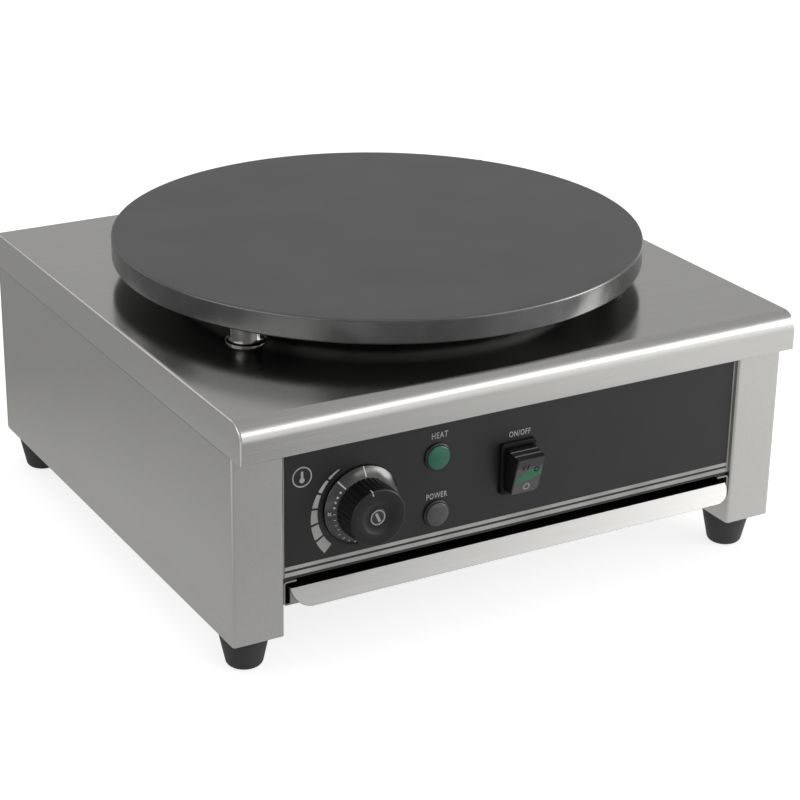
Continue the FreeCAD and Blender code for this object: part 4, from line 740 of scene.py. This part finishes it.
# pointer over the grip's shoulder: on its front, on its bend and down its side, as (radius, height) corners
pointer = {"half": 0.5, "onFront": ((17.4, 24.86), (19.6, 24.97)), "onBend": ((19.9, 24.48), (21.0, 24.60)),
           "onSide": ((20.80, 21.6), (21.02, 24.0)), "bendAt": (20.45, 24.48), "bend": -45, "angle": 14}
mesh = bmesh.new()
for part in ("onFront", "onBend", "onSide"):
    low, high = pointer[part]
    made = block(mesh, (-pointer["half"], *low), (pointer["half"], *high))
    if part == "onBend":
        rotate(mesh, made, pointer["bend"], "X", (0, *pointer["bendAt"]))
rotate(mesh, mesh.verts[:], pointer["angle"], "Z")
finishDial("dialPointer", mesh, "ink")
print("stage: dial")

# lamps: a collar with its threaded tube, and a crowned lens
lampShape = {"x": -67.4, "lens": 8.8, "gap": 0.15, "bezel": 10.2, "bezelHeight": 1.8, "bezelRound": (1.0, 4),
             "tube": (6.0, 7.8), "tubeBack": -24.0, "tubeFront": 0.2, "lensBack": 0.3, "lensEdge": 3.2,
             "lensRound": (0.7, 4), "crown": ((5.6, 3.85), (2.8, 4.12), (0, 4.2)), "steps": 72, "tubeSteps": 48,
             "crease": 40}
lampKinds = (("heat", 135.0, "greenLens", "lens_green"), ("power", 92.0, "clearLens", "lens_clear"))
for label, z, lensLook, slotName in lampKinds:
    mesh = bmesh.new()
    opening = lampShape["lens"] + lampShape["gap"]
    turn(mesh, [(opening, 0), (lampShape["bezel"], 0), (lampShape["bezel"], lampShape["bezelHeight"]),
                (opening, lampShape["bezelHeight"])], lampShape["steps"],
         [(lampShape["bezel"], lampShape["bezelHeight"], *lampShape["bezelRound"])])
    inner, outer = lampShape["tube"]
    turn(mesh, [(inner, lampShape["tubeBack"]), (outer, lampShape["tubeBack"]), (outer, lampShape["tubeFront"]),
                (inner, lampShape["tubeFront"])], lampShape["tubeSteps"])
    ontoFront(mesh, lampShape["x"], z)
    makePiece(label + "LampCollar", mesh, "housing", looks["switch"], [label + "_lamp_bezel"],
              lampShape["crease"])
    mesh = bmesh.new()
    turn(mesh, [(0, lampShape["lensBack"]), (lampShape["lens"], lampShape["lensBack"]),
                (lampShape["lens"], lampShape["lensEdge"]), *lampShape["crown"]], lampShape["steps"],
         [(lampShape["lens"], lampShape["lensEdge"], *lampShape["lensRound"])])
    ontoFront(mesh, lampShape["x"], z)
    makePiece(label + "LampLens", mesh, "housing", looks[lensLook], [label + "_lamp_lens"],
              lampShape["crease"])

# rocker switch: a frame with a pocket, its case and three blades
switch = {"x": -2.0, "z": 114.5, "frame": (29.0, 39.0), "height": 3.0, "corner": (2.5, 6), "rim": (0.9, 3),
          "inset": 2.1, "pocket": 15.5, "case": (26.0, 36.4), "caseBack": -30.0, "caseFront": -12.6,
          "blades": (-9.5, 0, 9.5), "blade": (6.3, 0.8), "bladeBack": -39.0, "crease": 40}


def isPocketFace(face):
    return face.normal.z > 0.99 and len(face.verts) > 8


mesh = bmesh.new()
halfX, halfY = [length / 2 for length in switch["frame"]]
block(mesh, (-halfX, -halfY, 0), (halfX, halfY, switch["height"]))
bevelEdges(mesh, lambda e: abs(e.verts[0].co.z - e.verts[1].co.z) > 1, *switch["corner"])
bevelEdges(mesh, lambda e: all(v.co.z > switch["height"] - touching / 2 for v in e.verts), *switch["rim"])
front = onlyThese(mesh.faces, isPocketFace)
bmesh.ops.inset_region(mesh, faces=front, thickness=switch["inset"], use_even_offset=True)
sunk = bmesh.ops.extrude_discrete_faces(mesh, faces=onlyThese(mesh.faces, isPocketFace))["faces"]
for pocket in sunk:
    move(mesh, pocket.verts[:], (0, 0, -switch["pocket"]))
halfX, halfY = [length / 2 for length in switch["case"]]
block(mesh, (-halfX, -halfY, switch["caseBack"]), (halfX, halfY, switch["caseFront"]))
halfX, halfY = [length / 2 for length in switch["blade"]]
for height in switch["blades"]:
    block(mesh, (-halfX, height - halfY, switch["bladeBack"]), (halfX, height + halfY, switch["caseBack"]))
ontoFront(mesh, switch["x"], switch["z"])
evenShading(makePiece("switchHousing", mesh, "housing", looks["frameBlack"], ["switch_housing"],
                      switch["crease"]))

# the rocker from its side, as (reach, height) corners; its face runs from the fourth to the fifth
rocker = {"half": 11.0,
          "side": ((-7.0, -15.6), (-3.0, -16.1), (3.3, -14.9), (11.0, -16.3), (19.5, 13.2), (14.4, 13.6),
                   (14.0, 14.4), (9.2, 14.6), (8.8, 15.3), (3.3, 15.4), (-3.0, 16.1), (-7.0, 15.6)),
          "faceReach": 9, "faceHeight": 10, "faceLength": 20, "faceRound": (1.6, 4),
          "treadReach": 2.5, "treadWidth": 10, "treadRound": (0.35, 2), "crease": 30}


def isFaceSide(edge):
    level = abs(edge.verts[0].co.x - edge.verts[1].co.x) < sameFace
    return level and edge.calc_length() > rocker["faceLength"] and all(
        v.co.z > rocker["faceReach"] and abs(v.co.y) > rocker["faceHeight"] for v in edge.verts)


def isTread(edge):
    ends = edge.verts
    return abs(ends[0].co.x - ends[1].co.x) > rocker["treadWidth"] and ends[0].co.z > rocker["treadReach"]


mesh = bmesh.new()
corners = [mesh.verts.new((-rocker["half"], height, reach)) for reach, height in rocker["side"]]
grown = bmesh.ops.extrude_face_region(mesh, geom=[mesh.faces.new(corners)])["geom"]
move(mesh, onlyVerts(grown), (2 * rocker["half"], 0, 0))
bmesh.ops.recalc_face_normals(mesh, faces=mesh.faces[:])
bevelEdges(mesh, isFaceSide, *rocker["faceRound"])
bevelEdges(mesh, isTread, *rocker["treadRound"])
bmesh.ops.recalc_face_normals(mesh, faces=mesh.faces[:])
ontoFront(mesh, switch["x"], switch["z"])
evenShading(makePiece("switchRocker", mesh, "rocker", looks["switch"], ["switch_rocker"],
                      rocker["crease"]))

# the rocker's lit face: two grey fields, a green band and plain 1 and 0 marks
face = {"middle": (-1.55, 15.25), "lean": 16.07, "half": 10.7, "low": -15.2, "top": 15.0, "split": 7.5,
        "back": -0.3, "front": 0.16, "corner": (5.0, 6)}
band = {"place": (1.0, -0.3), "size": (11.0, 4.6), "turn": 17.0, "droop": 1.8, "thickness": 0.3, "lift": 0.06,
        "steps": 48}
marks = {"zero": (0.4, -9.9), "zeroRing": (1.9, 2.8), "one": (5.9, 4.6), "oneRing": (1.4, 2.3),
         "bars": (-5.2, -1.6), "barHeight": 7.6, "barHalf": (0.6, 1.9), "barTurn": -14, "back": 0.1, "front": 0.3,
         "steps": 32}


def finishFace(name, mesh, look, replaced=()):
    # from a flat drawing of the face to the rocker
    rotate(mesh, mesh.verts[:], face["lean"], "X")
    move(mesh, mesh.verts[:], (0, *face["middle"]))
    ontoFront(mesh, switch["x"], switch["z"])
    makePiece(name, mesh, "rocker", looks[look], replaced)


def isFootCorner(edge):
    upright = abs(edge.verts[0].co.z - edge.verts[1].co.z) > sameFace
    return upright and all(v.co.y < face["low"] + sameFace and v.co.x > 0 for v in edge.verts)


for name, look, low, high in (("rockerFaceLow", "faceLow", face["low"], face["split"]),
                              ("rockerFaceHigh", "faceHigh", face["split"], face["top"])):
    mesh = bmesh.new()
    block(mesh, (-face["half"], low, face["back"]), (face["half"], high, face["front"]))
    bevelEdges(mesh, isFootCorner, *face["corner"])
    finishFace(name, mesh, look)

mesh = bmesh.new()
oval = bmesh.ops.create_cone(mesh, cap_ends=True, segments=band["steps"], radius1=1.0, radius2=1.0,
                             depth=band["thickness"])["verts"]
bmesh.ops.scale(mesh, vec=(*band["size"], 1), verts=oval)
for v in oval:
    v.co.y -= band["droop"] * ((v.co.x / band["size"][0]) ** 2 - 0.5)
rotate(mesh, oval, band["turn"], "Z")
move(mesh, oval, (*band["place"], 0))
for side in (1, -1):
    bmesh.ops.bisect_plane(mesh, geom=mesh.verts[:] + mesh.edges[:] + mesh.faces[:],
                           plane_co=(side * face["half"], 0, 0), plane_no=(side, 0, 0), clear_outer=True)
bmesh.ops.holes_fill(mesh, edges=mesh.edges[:])
move(mesh, mesh.verts[:], (0, 0, band["lift"]))
finishFace("rockerBand", mesh, "greenWindow", ["rocker_window"])

for name, look, middle, (inner, outer), bars in (
        ("rockerMarkZero", "border", marks["zero"], marks["zeroRing"], ()),
        ("rockerMarkOne", "frameBlack", marks["one"], marks["oneRing"], marks["bars"])):
    mesh = bmesh.new()
    turn(mesh, [(inner, marks["back"]), (outer, marks["back"]), (outer, marks["front"]), (inner, marks["front"])],
         marks["steps"], (), middle)
    halfWidth, halfLength = marks["barHalf"]
    for across in bars:
        bar = block(mesh, (-halfWidth, -halfLength, marks["back"]), (halfWidth, halfLength, marks["front"]))
        rotate(mesh, bar, marks["barTurn"], "Z")
        move(mesh, bar, (across, marks["barHeight"], 0))
    finishFace(name, mesh, look)
print("stage: lamps and switch")

# plain words on the panel: place across, height and size
words = {"HEAT": (-65.5, 150.3, 6.6), "POWER": (-67.0, 105.2, 6.0), "ON/OFF": (-0.4, 139.0, 6.0)}
wordLook = {"bolder": 0.06, "narrow": 0.75, "proud": 0.04}
for text, (x, z, size) in words.items():
    mesh = lettering(text, size, wordLook["bolder"])
    bmesh.ops.scale(mesh, vec=(wordLook["narrow"], 1.0, 1.0), verts=mesh.verts[:])
    ontoFront(mesh, x, z, panelFront - wordLook["proud"])
    makePiece("word" + text.replace("/", "").title(), mesh, "housing", looks["ink"])

# pale strips between the overlay and the posts: the right one is a pale border of the panel, the left one a
# painted highlight along the post's bend
border = {"width": 1.5, "gap": 1.75, "proud": 0.05}
low, high = [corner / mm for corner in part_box("control_overlay")]
mesh = bmesh.new()
for begins in (low.x - border["gap"], high.x + border["gap"] - border["width"]):
    block(mesh, (begins, low.y - border["proud"], low.z), (begins + border["width"], high.y, high.z))
makePiece("panelEdgeAndHighlight", mesh, "housing", looks["border"])

# finishes of the pieces kept from the frame
finishes = {
    "steelSide": ["side_panel_left", "side_panel_right"],
    "steelTrayPaintedShade": ["drawer_tray"],
    "steelFront": ["back_panel"],
    # the front panel and deck plate are painted black as painted shade for the gap under the overlay
    "paintedShadeBlack": ["front_panel", "deck_plate"],
    "steelInsidePaintedShade": ["drawer_runner_left", "drawer_runner_right", "rear_rail", "support_bar_front",
                   "support_bar_rear"],
    "film": ["control_overlay"],
    "ink": ["panel_print"],
    "fastener": ["panel_screws", "back_screws", "cover_screws", "foot_screws", "thermostat_screws",
                 "terminal_screws", "clamp_bolts", "plate_studs"],
    "zinc": ["stud_washers", "stud_nuts", "foot_washers", "foot_nuts", "element_clamp", "dial_spindle"],
    "pan": ["heat_shield", "overheat_cutout"],
    "sheath": ["outer_heating_element", "inner_heating_element"],
    "fibre": ["insulation_pad"],
    "bakelite": ["thermostat_body"],
    "copper": ["temperature_bulb"],
    "brass": ["earth_terminal"],
    "nylon": ["gland_body", "gland_nut", "gland_locknut", "lamp_nuts"],
    "block": ["terminal_block"],
    "sleeving": ["wiring"],
}
for look, names in finishes.items():
    for nodeName in names:
        for materialSlot in nodes[nodeName].material_slots:
            materialSlot.material = looks[look]
print("stage: finishes")
